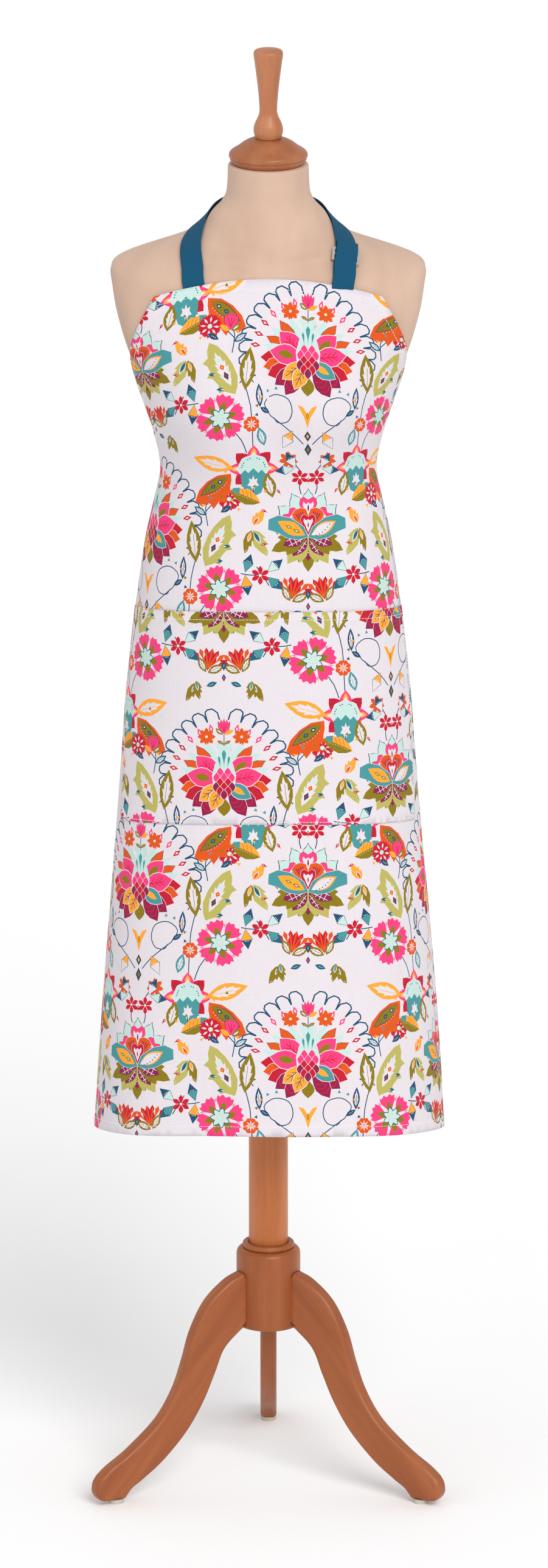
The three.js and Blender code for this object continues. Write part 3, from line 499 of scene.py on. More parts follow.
COLUMN_BORE = 12.9
COLUMN_PLUG = 37.5        # from the column's foot to the bottom of its bore
BOLT_HOLE = 4.3
HUB_FLOOR = 12
CAP_GROOVE = 6.8           # height above the neck of the fine groove round the cap's rim


def make_turned_wood():
    finial = [p for p in outer_profile("finial") if p[0] > 5]
    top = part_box("finial")[1].z / MM
    shape = [(0, finial[0][1])] + [tuple(p) for p in spline(finial, 4)]
    outline = soft_corners(shape + [(4, top - 0.15), (0, top)], 0.4)
    turned_piece("finial_turned", outline, "finial", "finial", wood=FINIAL_BEECH)
    cap = outer_profile("neck_cap")
    curve = spline(cap, 4)
    groove = cap[0][1] + CAP_GROOVE
    below, above = curve[curve[:, 1] < groove - 0.8], curve[curve[:, 1] > groove + 0.8]
    cut = (min(below[-1, 0], above[0, 0]) - 1.1, groove)
    outline = [(0, cap[0][1])] + [tuple(p) for p in np.vstack([below, cut, above])] + [(0, cap[-1][1])]
    turned_piece("neck_cap_turned", outline, "form", "neck_cap", wood=CAP_BEECH)
    low, high = (corner.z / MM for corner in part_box("column"))
    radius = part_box("column")[1].x / MM
    plug = low + COLUMN_PLUG
    bored_piece("column_turned", [(BOLT_HOLE, low), (radius, low), (radius, high), (COLUMN_BORE, high),
                                  (COLUMN_BORE, plug), (BOLT_HOLE, plug)], "column", COLUMN_BEECH_PAINTED_LIGHT)
    hub = outer_profile("leg_hub")
    bottom, top = hub[0][1], hub[-1][1]
    hub = [point for point in hub if point[1] <= bottom + 2.5 or point[1] > bottom + 60]
    bore = radius + 0.3
    floor = bottom + HUB_FLOOR
    inside = [(bore, top), (bore, floor), (BOLT_HOLE, floor), (BOLT_HOLE, bottom)]
    bored_piece("leg_hub_turned", hub + inside, "leg_hub")
    ring = outer_profile("hub_ring")
    bored_piece("hub_ring_turned", ring + [(bore, ring[-1][1]), (bore, ring[0][1])], "hub_ring")


LEG_THICKNESS = 19
LEG_ROUND = 5
LEG_SEAT = 37.2            # radius of the hollow that faces the hub
LEG_UPPER = [(37.4, 254), (58, 245.5), (84, 224), (103, 191), (114, 157), (127, 124), (149, 92), (186, 62),
             (214, 45), (227, 35)]
LEG_TOE = [(227, 35), (232, 27), (233, 16), (228, 8), (222, 5.3)]
LEG_LOWER = [(195, 5.3), (186, 15.5), (171, 24.5), (144, 43), (113, 73), (91, 105), (75, 138),
             (62, 166), (37.4, 187.5)]


def leg_outline():
    upper = spline(LEG_UPPER, 8)[:-1]
    toe = np.delete(spline(LEG_TOE, 6), -2, axis=0)
    lower = np.delete(spline(LEG_LOWER, 8), [1, 2], axis=0)
    return np.vstack([upper, toe, lower])


def inset(outline, distance):
    """The closed outline moved inwards; it runs clockwise, with its inside to the right."""
    arriving, leaving = outline - np.roll(outline, 1, axis=0), np.roll(outline, -1, axis=0) - outline
    arriving /= np.linalg.norm(arriving, axis=1)[:, None]
    leaving /= np.linalg.norm(leaving, axis=1)[:, None]
    way = arriving + leaving
    way /= np.linalg.norm(way, axis=1)[:, None]
    reach = distance / np.clip((way * leaving).sum(1), 0.5, 1)[:, None]
    return outline + reach * np.stack([way[:, 1], -way[:, 0]], 1)


def make_leg(side, degrees):
    """A flat leg with rounded edges; its inner end is hollowed to sit against the round hub."""
    outline = leg_outline()
    half = LEG_THICKNESS / 2
    steps = [math.radians(90 * step / 6) for step in range(7)]
    loops = [(LEG_ROUND + 1.2, -half)]
    loops += [(LEG_ROUND * (1 - math.sin(a)), -half + LEG_ROUND * (1 - math.cos(a))) for a in steps]
    loops += [(move, -across) for move, across in reversed(loops)]
    points = []
    for move, across in loops:
        moved = inset(outline, move)
        end = math.sqrt(LEG_SEAT**2 - across**2)
        moved[0] = (end, outline[0, 1] - 1.08 * move)
        moved[-1] = (end, outline[-1, 1] + 1.33 * move)
        points += [(reach, across, height) for reach, height in moved]
    points = np.array(points)
    count = len(outline)
    faces = grid_faces(len(loops), count, True)
    faces.append(tuple(range(count - 1, -1, -1)))
    faces.append(tuple(range((len(loops) - 1) * count, len(loops) * count)))
    turn = math.radians(degrees)
    placed = np.stack([points[:, 0] * math.cos(turn) - points[:, 1] * math.sin(turn),
                       points[:, 0] * math.sin(turn) + points[:, 1] * math.cos(turn), points[:, 2]], 1)
    leg = make_piece("leg_" + side + "_shaped", in_frame(placed), faces, "stand", BEECH)
    for row in range(len(loops) - 1):
        leg.data.polygons[row * count + count - 1].use_smooth = False
    slope = math.radians(-48)
    along = points[:, 0] * math.cos(slope) + points[:, 2] * math.sin(slope)
    over = -points[:, 0] * math.sin(slope) + points[:, 2] * math.cos(slope)
    set_vectors(leg, "Grain", np.stack([along + degrees * 9, points[:, 1] + degrees, over], 1))
    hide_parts("leg_" + side)


def give_frame_looks():
    """CAD pieces that stay as they are get their finish."""
    looks = {"steel": STEEL, "nickel": NICKEL, "black_plastic": BLACK_PLASTIC, "shell_plastic": SHELL_PLASTIC,
             "felt": FELT, "board": BOARD, "beech": BEECH, "webbing": WEBBING, "jersey": JERSEY,
             "printed_cotton": PLAIN}
    for entry in frame["record"]["subparts"]:
        node = frame["nodes"][entry["node"]]
        node.data.materials.clear()
        node.data.materials.append(looks[entry["material_slot"]])


give_frame_looks()
make_turned_wood()
for side, degrees in (("left", 210), ("right", 330), ("rear", 90)):
    make_leg(side, degrees)


# ---- Torso -------------------------------------------------------------------------------------
TORSO_ARCS = ArcTable(TORSO_SECTIONS, 800, 1575)
FORM_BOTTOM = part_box("torso_cover")[0].z / MM
NECK_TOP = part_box("torso_cover")[1].z / MM


def anatomy(azimuth, height):
    """Collarbones, the notch between them and the shoulder blades: how far the jersey stands proud, in mm."""
    point = body_point(TORSO_SECTIONS, azimuth, height)
    across = np.abs(point[..., 0])
    front = np.clip(np.cos(azimuth) * 1.6, 0, 1)
    back = np.clip(-np.cos(azimuth) * 1.6, 0, 1)
    ridge = 1465 + 0.09 * across
    ends = 1 / (1 + np.exp(-(across - 18) / 5)) / (1 + np.exp((across - 68) / 6))
    bones = 3.4 * np.exp(-(((height - ridge) / 7) ** 2)) * ends
    hollow = -3.5 * np.exp(-(((height - ridge - 15) / 8) ** 2)) * ends
    notch = -3.8 * np.exp(-((across / 9) ** 2) - ((height - 1477) / 8) ** 2)
    padding = 2.8 * np.exp(-((across / 72) ** 6) - ((height - 1474) / 40) ** 4)
    blades = 4.0 * np.exp(-(((across - 78) / 34) ** 2) - ((height - 1392) / 48) ** 2)
    return front * (padding + bones + hollow + notch) + back * blades


def torso_place(distance, height, lift=0.0):
    azimuth = TORSO_ARCS.azimuth(distance, height)
    rise = np.asarray(anatomy(azimuth, height) + lift)[..., None]
    return body_point(TORSO_SECTIONS, azimuth, height) + rise * body_normal(TORSO_SECTIONS, azimuth, height)


def make_torso():
    columns = 180
    heights = np.concatenate([np.linspace(FORM_BOTTOM, 1400, 96), np.linspace(1404, 1562, 66)])
    share = np.linspace(-1, 1, columns, endpoint=False)
    girth = TORSO_ARCS.half_girth(heights)
    distance = share[None, :] * girth[:, None]
    level = np.broadcast_to(heights[:, None], distance.shape)
    points = torso_place(distance, level)
    rings = [points[i] for i in range(len(heights))]
    cloth = [np.stack([distance[i], level[i], 0 * level[i]], -1) for i in range(len(heights))]

    def add_round(radius, height):
        turns = share * math.pi
        ring = np.stack([radius * np.sin(turns), -radius * np.cos(turns), 0 * turns + height], -1)
        place = np.stack([turns * radius, np.full(columns, height + 46.0 - radius), 0 * turns], -1)
        rings.append(ring)
        cloth.append(place)

    for step in range(6):
        angle = math.radians(90 * step / 5)
        add_round(46 - 3.2 * (1 - math.cos(angle)), NECK_TOP - 3.2 * (1 - math.sin(angle)))
    for radius in (38, 24, 12, 4.6):
        add_round(radius, NECK_TOP)
    lower = [points[0] * np.array([scale, scale, 0]) + np.array([0, 0, FORM_BOTTOM + rise])
             for scale, rise in ((0.995, -0.0), (0.975, 0.3), (0.955, 1.2))]
    rings = lower[::-1] + rings
    cloth = [cloth[0] - np.array([0, 4.0 * (k + 1), 0]) for k in range(3)][::-1] + cloth
    points = np.concatenate(rings)
    faces = grid_faces(len(rings), columns, True)
    torso = make_piece("torso_jersey", in_frame(points), faces, "form", JERSEY)
    set_vectors(torso, "Cloth", np.concatenate(cloth))
    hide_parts("torso_cover")


def swept_tube(points, radius, sides=8, closed=False):
    """Vertices and faces of a round cord along points, closed on itself or with flat ends."""
    points = np.asarray(points, float)
    count = len(points)
    if closed:
        tangents = np.roll(points, -1, axis=0) - np.roll(points, 1, axis=0)
    else:
        tangents = np.gradient(points, axis=0)
    tangents /= np.linalg.norm(tangents, axis=1)[:, None]
    up = np.array([0.0, 0.0, 1.0])
    vertices = []
    for point, tangent in zip(points, tangents):
        side = np.cross(tangent, up)
        if np.linalg.norm(side) < 0.2:
            side = np.cross(tangent, np.array([1.0, 0, 0]))
        side /= np.linalg.norm(side)
        other = np.cross(side, tangent)
        for k in range(sides):
            angle = 2 * math.pi * k / sides
            vertices.append(point + radius * (math.cos(angle) * side + math.sin(angle) * other))
    faces = grid_faces(count, sides, True)
    if closed:
        last = (count - 1) * sides
        faces += [(last + j, last + (j + 1) % sides, (j + 1) % sides, j) for j in range(sides)]
    else:
        faces.append(tuple(range(sides - 1, -1, -1)))
        faces.append(tuple(range((count - 1) * sides, count * sides)))
    return np.array(vertices), faces


def make_arm_seams():
    """The seam round each arm plate: a fine ridge on an oval that leans with the shoulder."""
    for side, sign in (("left", -1), ("right", 1)):
        turns = np.linspace(0, 2 * math.pi, 220, endpoint=False)
        height = 1376 + 70 * np.sin(turns)
        half = TORSO_ARCS.half_girth(height)
        distance = sign * (half * 0.5 + 44 * np.cos(turns) * (1 + 0.12 * np.sin(turns)))
        path = torso_place(distance, height, 0.05)
        vertices, faces = swept_tube(path, 0.55, 6, True)
        seam = make_piece("arm_seam_" + side, in_frame(vertices), faces, "form", JERSEY)
        set_vectors(seam, "Cloth", vertices)


make_torso()
make_arm_seams()


# ---- The printed pattern -----------------------------------------------------------------------
# Motifs are lists of (outline, ink) in millimetres, painted in order. Each starts at the origin, pointing up.
GROUND, PINK, CRIMSON, ORANGE, AMBER, OLIVE, MOSS, TEAL, MINT, NAVY, PETROL, PLUM, SLATE = range(13)
INKS = [linear(*rgb) for rgb in (
    (216, 209, 214), (232, 58, 120), (190, 14, 42), (214, 80, 14), (242, 158, 46), (132, 112, 6),
    (178, 170, 88), (66, 142, 146), (188, 214, 208), (22, 72, 104), (14, 94, 114), (136, 22, 70),
    (44, 62, 84))]


def mirrored(half):
    """A closed outline from one half, which starts and ends on the middle line."""
    return half + [(-x, y) for x, y in half[-2:0:-1]]


def lens(length, width, widest=0.5, steps=3):
    """A petal or leaf outline that is widest at the given share of its length."""
    power = math.log(0.5) / math.log(widest)
    side = [(width / 2 * math.sin(math.pi * (k / (2 * steps)) ** power), length * k / (2 * steps))
            for k in range(1, 2 * steps)]
    return mirrored([(0, 0)] + side + [(0, length)])


def disc(radius, sides=8, x=0.0, y=0.0):
    return [(x + radius * math.cos(2 * math.pi * k / sides), y + radius * math.sin(2 * math.pi * k / sides))
            for k in range(sides)]


def stroke(points, width, steps=2):
    """A line of even width along a smooth curve through points."""
    curve = spline(points, steps) if len(points) > 2 else np.array(points, float)
    way = np.gradient(curve, axis=0)
    way /= np.linalg.norm(way, axis=1)[:, None]
    side = np.stack([-way[:, 1], way[:, 0]], 1) * width / 2
    return [tuple(p) for p in curve + side] + [tuple(p) for p in (curve - side)[::-1]]


def moved(shapes, x=0.0, y=0.0, turn=0.0, size=1.0, flip=False):
    cos, sin = size * math.cos(math.radians(turn)), size * math.sin(math.radians(turn))
    sign = -1 if flip else 1
    return [([(x + sign * px * cos - py * sin, y + sign * px * sin + py * cos) for px, py in outline], ink)
            for outline, ink in shapes]


def around(shapes, count, start=0.0, radius=0.0):
    """Copies of shapes turned about the origin, each moved outwards by a radius."""
    lifted = moved(shapes, y=radius)
    return [shape for k in range(count) for shape in moved(lifted, turn=start + 360 * k / count)]


def dots(places, radius, ink):
    return [(disc(radius * 1.1, 4, x, y), ink) for x, y in places]


def edged(outline, ink, edge_ink, edge):
    """An outline with a thin rim of another ink round it."""
    points = np.array(outline)
    middle = (points.max(0) + points.min(0)) / 2
    half = (points.max(0) - points.min(0)) / 2
    grown = middle + (points - middle) * (1 + edge / half)
    return [([tuple(p) for p in grown], edge_ink), (outline, ink)]


def serrated(length, width, teeth):
    """A narrow leaf whose edges step inwards like cut paper."""
    side = []
    for k in range(1, teeth + 1):
        place = k / (teeth + 1)
        reach = width / 2 * math.sin(math.pi * place ** 0.9)
        side += [(reach, length * (place + 0.035)), (reach * 0.62, length * (place - 0.01))]
    return mirrored([(0, 0)] + side + [(0, length)])


def star_flower(radius, petals, ink, eye):
    shapes = around([(lens(radius, radius * 0.52, 0.6, 2), ink)], petals)
    return shapes + [(disc(radius * 0.16, 6), eye)]


def daisy(radius):
    petal = mirrored([(0, 0), (0.3, 0.5), (0.33, 0.92), (0.12, 0.84), (0, 1)])
    petal = [(x * radius, y * radius) for x, y in petal]
    slot = moved([(lens(radius * 0.5, radius * 0.2, 0.6, 1), GROUND)], y=radius * 0.3)
    return around([(petal, CRIMSON)] + slot, 8) + [(disc(radius * 0.2), MINT)]


def rosette(radius):
    petal = mirrored([(0, 0.1), (0.14, 0.4), (0.36, 0.7), (0.36, 0.92), (0.25, 0.88), (0.15, 1.0), (0, 0.9)])
    petal = [(x * radius, y * radius) for x, y in petal]
    ray = [(lens(radius * 0.36, radius * 0.17, 0.7, 1), GROUND),
           (lens(radius * 0.26, radius * 0.09, 0.8, 1), PLUM)]
    ray = moved(ray, y=radius * 0.66)
    shapes = around([(petal, PINK)], 6) + around([(lens(radius * 0.7, radius * 0.27, 0.62), OLIVE)], 6)
    shapes += around(ray, 6, 30)
    shapes += around([(lens(radius * 0.46, radius * 0.27, 0.55, 2), NAVY)], 7)
    shapes += around([(lens(radius * 0.42, radius * 0.21, 0.55, 2), MINT)], 7)
    return shapes + around([(disc(0.66, 4), AMBER)], 7, 20, radius * 0.14)


def rim_flower(radius):
    rim = [(radius * (1 if k % 3 else 0.86) * math.cos(math.pi * k / 12),
            radius * (1 if k % 3 else 0.86) * math.sin(math.pi * k / 12)) for k in range(24)]
    slots = around([(lens(radius * 0.7, radius * 0.24, 0.7, 1), GROUND)], 8)
    return [(rim, ORANGE)] + slots + [(disc(1.1, 6), AMBER)]


def tulip(size):
    head = [(-5, 4), (-6.4, 10), (-6.6, 15), (-4.4, 13), (-3.3, 17), (-1.4, 14), (0, 18.5), (1.4, 14),
            (3.3, 17), (4.4, 13), (6.6, 15), (6.4, 10), (5, 4), (0, 1)]
    shapes = edged(head, PINK, PLUM, 0.5)
    shapes += [(stroke([(0, 3), (x * 0.5, 8), (x, 12)], 0.6, 1), CRIMSON) for x in (-3.4, 0, 3.4)]
    shapes += moved([(lens(11, 5.6, 0.5), OLIVE)], -1.2, -0.5, 48)
    shapes += moved([(lens(12, 5.2, 0.5), AMBER)], 0.4, -0.4, -62)
    return moved(shapes + moved([(lens(7, 1.8, 0.5, 2), GROUND)], -2.6, 0.8, 48), size=size)


def diamond(width, height, ink, core):
    rim = [(0, -height / 2), (width / 2, 0), (0, height / 2), (-width / 2, 0)]
    return [(rim, ink), ([(x * 0.42, y * 0.42) for x, y in rim], core)]


def kite(length, top_ink, low_ink):
    shapes = edged([(0, 0), (length * 0.26, length * 0.52), (0, length), (-length * 0.26, length * 0.52)],
                   low_ink, NAVY, 0.7)
    shapes.append(([(length * 0.24, length * 0.55), (0, length), (-length * 0.24, length * 0.55)], top_ink))
    return shapes + dots([(-1.9, length * 0.6), (0, length * 0.6), (1.9, length * 0.6)], 0.6, GROUND)


def bordered_leaf(length, width, ink, steps=3):
    shapes = [(lens(length, width, 0.48, steps), ink)]
    shapes += moved([(serrated(length * 0.72, width * 0.66, 3), GROUND)], y=length * 0.13)
    return shapes + [(stroke([(0, length * 0.1), (width * 0.04, length * 0.66)], 0.6), ink)]


def dotted_leaf(length, width, ink):
    spots = dots([(0, length * s) for s in (0.32, 0.46, 0.6)], width * 0.09, GROUND)
    return [(lens(length, width, 0.5), ink)] + spots


def feather(length, width, ink, core):
    """A leaf with a ragged edge on one side and a small leaf inside it."""
    side = [(width * 0.3, length * 0.14), (width * 0.5, length * 0.42), (width * 0.3, length * 0.4),
            (width * 0.44, length * 0.66), (width * 0.22, length * 0.64), (width * 0.2, length * 0.86)]
    left = [(-width * 0.24, length * 0.8), (-width * 0.46, length * 0.5), (-width * 0.36, length * 0.2)]
    shapes = [([(0, 0)] + side + [(0, length)] + left, ink)]
    small = [(lens(length * 0.46, width * 0.36), GROUND), (lens(length * 0.4, width * 0.24), core)]
    shapes += moved(small, y=length * 0.06)
    return shapes + [([(0.4, length * 0.86), (1.6, length * 0.8), (0, length * 0.96)], GROUND)]


def lobed_leaf(length, width):
    """A large pale leaf with scalloped sides and a row of lozenges inside."""
    outer = [(0, 0), (10, 9), (17, 10), (13, 19), (16, 29), (22, 33), (14.5, 38), (15, 46), (19, 51),
             (10, 54), (7, 62), (0, 70), (-7, 62), (-12, 48), (-14, 34), (-13, 18), (-7, 7)]
    shapes = [([(x * width / 36, y * length / 70) for x, y in outer], MOSS)]
    inner = moved([(serrated(48, 17, 5), GROUND)], -0.5, 12)
    inner += moved(diamond(6, 9, MINT, GROUND), -0.5, 48) + moved(diamond(6.4, 8, ORANGE, AMBER), -0.5, 38)
    inner += moved(diamond(6.6, 12, SLATE, CRIMSON), -0.5, 26)
    inner += moved([(lens(10, 4.4), PETROL), (lens(5, 1.6, 0.5, 1), GROUND)], 9, 12, -62)
    inner += moved([(lens(10, 4.4), PETROL), (lens(5, 1.6, 0.5, 1), GROUND)], 9.6, 33, -58)
    inner += dots([(-5.4, y) for y in (18, 21.5, 25, 28.5, 32)], 0.6, MOSS)
    return shapes + moved(inner, size=min(length / 70, width / 36))


def flame_leaf(length, width):
    """An orange leaf with flame-like points on one side and an olive heart."""
    outer = [(0, 0), (7, 5), (13, 12), (19, 12), (18, 22), (25, 27), (19, 34), (22, 45), (13, 44),
             (12, 55), (2, 58), (-5, 46), (-8, 30), (-7, 14)]
    shapes = [([(x * width / 33, y * length / 58) for x, y in outer], ORANGE)]
    inner = moved([(lens(44, 14, 0.45), SLATE), (lens(42.5, 12.4, 0.45), OLIVE)], 1, 5)
    inner += moved(diamond(5.6, 8, SLATE, GROUND), 1, 17) + moved(diamond(5.6, 8, SLATE, TEAL), 1, 28)
    inner += moved(diamond(3.4, 5, SLATE, AMBER), 1, 37)
    inner += dots([(8.4 - 0.01 * (y - 26) ** 2, y) for y in range(12, 44, 4)], 0.6, GROUND)
    return shapes + moved(inner, size=min(length / 58, width / 33))


def split_leaf(length):
    """A leaf in two tones: plain above its middle line and striped below it."""
    upper = [(0, 0), (5, 6), (8.5, 15), (7, 26), (0, 40), (-1.5, 24), (-1, 10)]
    lower = [(0, 0), (-1, 10), (-1.5, 24), (0, 40), (-5, 36), (-6, 31), (-8.6, 29), (-8.4, 23),
             (-11, 20), (-9.6, 14), (-5, 5)]
    shapes = [(lower, AMBER), (upper, OLIVE), ([(0, 40), (-1.5, 26), (-8.6, 29), (-5, 36)], TEAL)]
    shapes += [(stroke([(-1.6, y), (-8.4, y + 5)], 0.6), ORANGE) for y in (11, 16, 21)]
    shapes += dots([(0.6 + 0.4 * math.sin(y / 4), y) for y in range(7, 34, 3)], 0.5, GROUND)
    return moved(shapes, size=length / 40)


def confetti(radius, first, last, inks, size=2.1):
    """Small triangles along an arc about the origin, pointing outwards."""
    shapes = []
    for k, ink in enumerate(inks):
        turn = first + (last - first) * k / (len(inks) - 1)
        shapes += moved(moved([([(-size, 0), (size, 0), (0, size * 1.8)], ink)], y=radius), turn=turn)
    return shapes


def bell_flower():
    """Eight pointed petals in two reds round a pale cloud and a teal bell."""
    veins = [(stroke([(x, 14), (x * 1.3, 23)], 0.7), PLUM) for x in (-2.4, 0, 2.4)]
    wide = [(lens(28, 16, 0.58), CRIMSON)] + veins
    slim = [(lens(29, 15, 0.56), PINK)] + moved([(lens(13, 6.4), AMBER), (lens(9, 3.4), GROUND)], y=13)
    shapes = around(wide, 4, 45) + around(slim, 4, 0)
    cloud = []
    for k in range(18):
        turn = math.radians(-20 + 220 * k / 17)
        bump = 15.6 + 1.9 * abs(math.sin(4.1 * (turn + 0.35)))
        cloud.append((bump * math.cos(turn), bump * math.sin(turn)))
    shapes += edged(cloud + [(-9, -9), (9, -9)], MINT, GROUND, 0.8)
    shapes += dots([(13.2 * math.cos(math.radians(a)), 13.2 * math.sin(math.radians(a)))
                    for a in (8, 20, 32, 60, 72, 108, 120, 148, 160, 172)], 0.8, SLATE)
    bell = [(-14, -2), (-9.4, 3.4), (-5.6, -0.6), (0, 5.4), (5.6, -0.6), (9.4, 3.4), (14, -2),
            (13, -13), (9, -25), (0, -30), (-9, -25), (-13, -13)]
    shapes += moved([(bell, TEAL)], y=-5)
    tuft = mirrored([(0, -28), (3, -20), (7.4, -19), (4.4, -14.4), (5.4, -9), (1.8, -11), (0, -5)])
    return shapes + moved([(tuft, GROUND), (stroke([(0, -33), (0, -22)], 1.3), NAVY)], y=-4, size=0.9)


def great_bloom():
    """The large layered flower: feathers behind, round petals, and a cone of scales in a slim vase."""
    shapes = []
    feathers = ((24, MINT, 50), (37, ORANGE, 53), (50, MINT, 54), (62, ORANGE, 53), (73, MINT, 53))
    for turn, ink, length in feathers:
        for sign in (-1, 1):
            quill = lens(length, 12, 0.68)
            plume = edged(quill, ink, SLATE, 0.6) if ink == ORANGE else [(quill, ink)]
            shapes += moved(plume, turn=sign * turn)
    for turn, ink in ((88, CRIMSON), (100, ORANGE), (112, CRIMSON)):
        for sign in (-1, 1):
            petal = edged(lens(54 - (turn - 88) * 0.2, 17, 0.72), ink, GROUND, 0.5)
            petal += dots([(x, 37) for x in (-3.4, 0, 3.4)], 0.8, SLATE)
            shapes += moved(petal, turn=sign * turn)
    for turn in (128, 148):
        for sign in (-1, 1):
            petal = edged(lens(47, 18, 0.66), PLUM, GROUND, 0.5)
            petal += [(stroke([(-6, y), (0, y + 4), (6, y)], 1.5, 2), CRIMSON) for y in (24, 30, 36)]
            shapes += moved(petal, turn=sign * turn)
    shapes += moved(edged(lens(22, 15, 0.55), OLIVE, GROUND, 0.6), y=-18, turn=180)
    for turn, olive in ((47, False), (78, True), (-47, True), (-78, False)):
        petal = edged(lens(44, 22, 0.58), PINK, GROUND, 0.9)
        if olive:
            petal += moved([(lens(19, 8.6), OLIVE)], y=16)
        else:
            petal.append((stroke([(0, 9), (0.6, 34)], 0.9), CRIMSON))
            petal += [(stroke([(0, y), (s * 5, y + 6)], 0.8), CRIMSON) for y in (16, 22, 27) for s in (-1, 1)]
        shapes += moved(petal, turn=turn)
    for turn, ink in ((128, AMBER), (156, AMBER), (-122, TEAL)):
        petal = edged(lens(36, 17, 0.58), ink, GROUND, 0.8)
        if ink == AMBER:
            petal.append((stroke([(0, 12), (0.5, 31)], 0.8), SLATE))
            petal += [(stroke([(0, y), (s * 4, y + 5)], 0.7), SLATE) for y in (16, 22) for s in (-1, 1)]
        else:
            petal += moved([(lens(19, 7), AMBER)], y=9)
        shapes += moved(petal, turn=turn)
    vase = mirrored([(0, -16), (8, -12), (12, -2), (13, 8), (10, 20), (6.6, 30), (6.4, 37), (10.4, 43),
                     (8.4, 45), (3.4, 44), (0, 41)])
    shapes += edged(vase, MINT, GROUND, 0.7)
    shapes += moved([(lens(25, 5, 0.8), TEAL)], y=13)
    for x, lean in ((-3.4, 8), (3.4, -8)):
        shapes += moved([(lens(19, 2.8, 0.8), TEAL)], x, 12, lean)
    rows = [(9, (-4.4, 4.4), PINK), (3, (-8.4, 0, 8.4), PINK), (-3, (-4.6, 4.6), CRIMSON),
            (-8, (-9, 0, 9), CRIMSON), (-13, (-4.6, 4.6), CRIMSON), (-17, (0,), PLUM)]
    for height, places, ink in rows:
        for place in places:
            scale_ink = PLUM if abs(place) > 8.8 else ink
            shapes += moved(edged(lens(12, 7.8, 0.5, 2), scale_ink, GROUND, 0.5), place, height - 4)
    return shapes


def fan_flower():
    """The second large flower: a pale crown, hearts and fans over teal leaves and checked olive petals."""
    crown = []
    for k in range(7):
        turn = -78 + 26 * k
        for lean, reach in ((-13, 40), (-8, 45), (-3, 48), (0, 52), (3, 48), (8, 45)):
            angle = math.radians(turn + lean)
            crown.append((reach * math.sin(angle) * 0.82, reach * math.cos(angle)))
    crown += [(34, 4), (0, -6), (-34, 4)]
    shapes = edged(crown, MINT, SLATE, 1.3)
    for turn, ink in ((180, OLIVE), (146, MOSS), (-146, MOSS), (116, OLIVE), (-116, OLIVE)):
        length = 44 if turn == 180 else 42 if abs(turn) == 146 else 46
        lobe = mirrored([(0, 0), (8, 10), (13, 22), (11.6, 33), (7, 31), (5, length - 7), (0, length)])
        petal = [(lobe, ink)] + moved(edged(lens(28, 15, 0.5), PLUM, SLATE, 0.5), y=3)
        ends = [(6.4 - abs(y - 17) * 0.2, y) for y in (12, 17, 22)]
        petal += [(stroke([(-x, y), (x, y)], 0.7), GROUND) for x, y in ends]
        petal += [(stroke([(x, 8), (x, 26)], 0.7), GROUND) for x in (-3, 3)]
        shapes += moved(petal, turn=turn)
    heart = mirrored([(0, 3), (7, 14), (10, 22), (9, 28), (5, 30.5), (0, 27)])
    inner = mirrored([(0, 6), (3.6, 15), (6.4, 21), (5.6, 25), (2.6, 22), (0, 24)])
    bud = edged(heart, PINK, CRIMSON, 0.4) + [(inner, GROUND)] + moved([(lens(9, 2, 0.5, 2), PLUM)], y=13)
    for turn, reach in ((0, 12), (44, 5), (-44, 5)):
        shapes += moved(moved(bud, y=reach), turn=turn)
    fan = mirrored([(0, 0), (8, 18), (8.6, 27), (4, 30.5), (0, 31)])
    ribs = [(stroke([(x * 0.4, 12), (x, 26)], 1.1), PLUM) for x in (-4, -1.4, 1.4, 4)]
    for turn in (-23, 23):
        shapes += moved(edged(fan, ORANGE, GROUND, 0.4) + ribs, turn=turn)
    core = edged(heart, CRIMSON, GROUND, 0.4) + [(inner, GROUND)] + moved([(lens(8, 1.8, 0.5, 2), PLUM)],
                                                                          y=12)
    shapes += moved(core, y=-4, size=0.86)
    for sign in (-1, 1):
        blade = [(0, 0), (8, 8), (12, 20), (11.6, 33), (13.6, 44), (3, 49), (-6, 42), (-10, 28), (-8, 10)]
        leaf = edged(blade, TEAL, GROUND, 0.5)
        if sign > 0:
            leaf += moved([(lens(33, 14, 0.5), AMBER), (lens(30, 11, 0.5), GROUND)], y=4)
            leaf += dots([(3.4 * math.sin(y / 9), y) for y in range(9, 30, 4)], 0.8, NAVY)
        else:
            leaf += moved([(lens(35, 15, 0.5), AMBER)], y=4) + moved(diamond(4.4, 10, OLIVE, GROUND), y=15)
            leaf += moved(diamond(4, 9, OLIVE, MINT), y=25)
        shapes += moved(leaf, y=-4, turn=-62 if sign > 0 else 62, flip=sign < 0)
    for turn in (-104, -62, -34, 0, 34, 62, 104):
        ray = [(lens(9, 3.4, 0.75, 2), CRIMSON), (disc(0.7, 5, 0, 6.6), GROUND)]
        shapes += moved(moved(ray, y=58 - abs(turn) * 0.12), turn=turn)
    return shapes


def fan_bud():
    shapes = []
    for k in range(7):
        shapes += moved([(lens(27, 5.6, 0.86), ORANGE if k % 2 else CRIMSON)], turn=-48 + 16 * k)
    shapes += [(lens(24, 15, 0.6), CRIMSON)]
    tips = [(23 * math.sin(a), 23 * math.cos(a)) for a in (-0.6, -0.3, 0, 0.3, 0.6)]
    shapes += [(stroke([(0, 3), tip], 1.5), ORANGE) for tip in tips]
    shapes += moved(bordered_leaf(21, 10, OLIVE), -1, -2, 52) + moved(bordered_leaf(20, 9, OLIVE), 1, -2, -40)
    return shapes


def anticlockwise(shapes):
    result = []
    for outline, ink in shapes:
        turns = sum(a[0] * b[1] - b[0] * a[1] for a, b in zip(outline, outline[1:] + outline[:1]))
        result.append((outline if turns > 0 else outline[::-1], ink))
    return result


REPEAT_WIDTH = 200
REPEAT_HEIGHT = 412


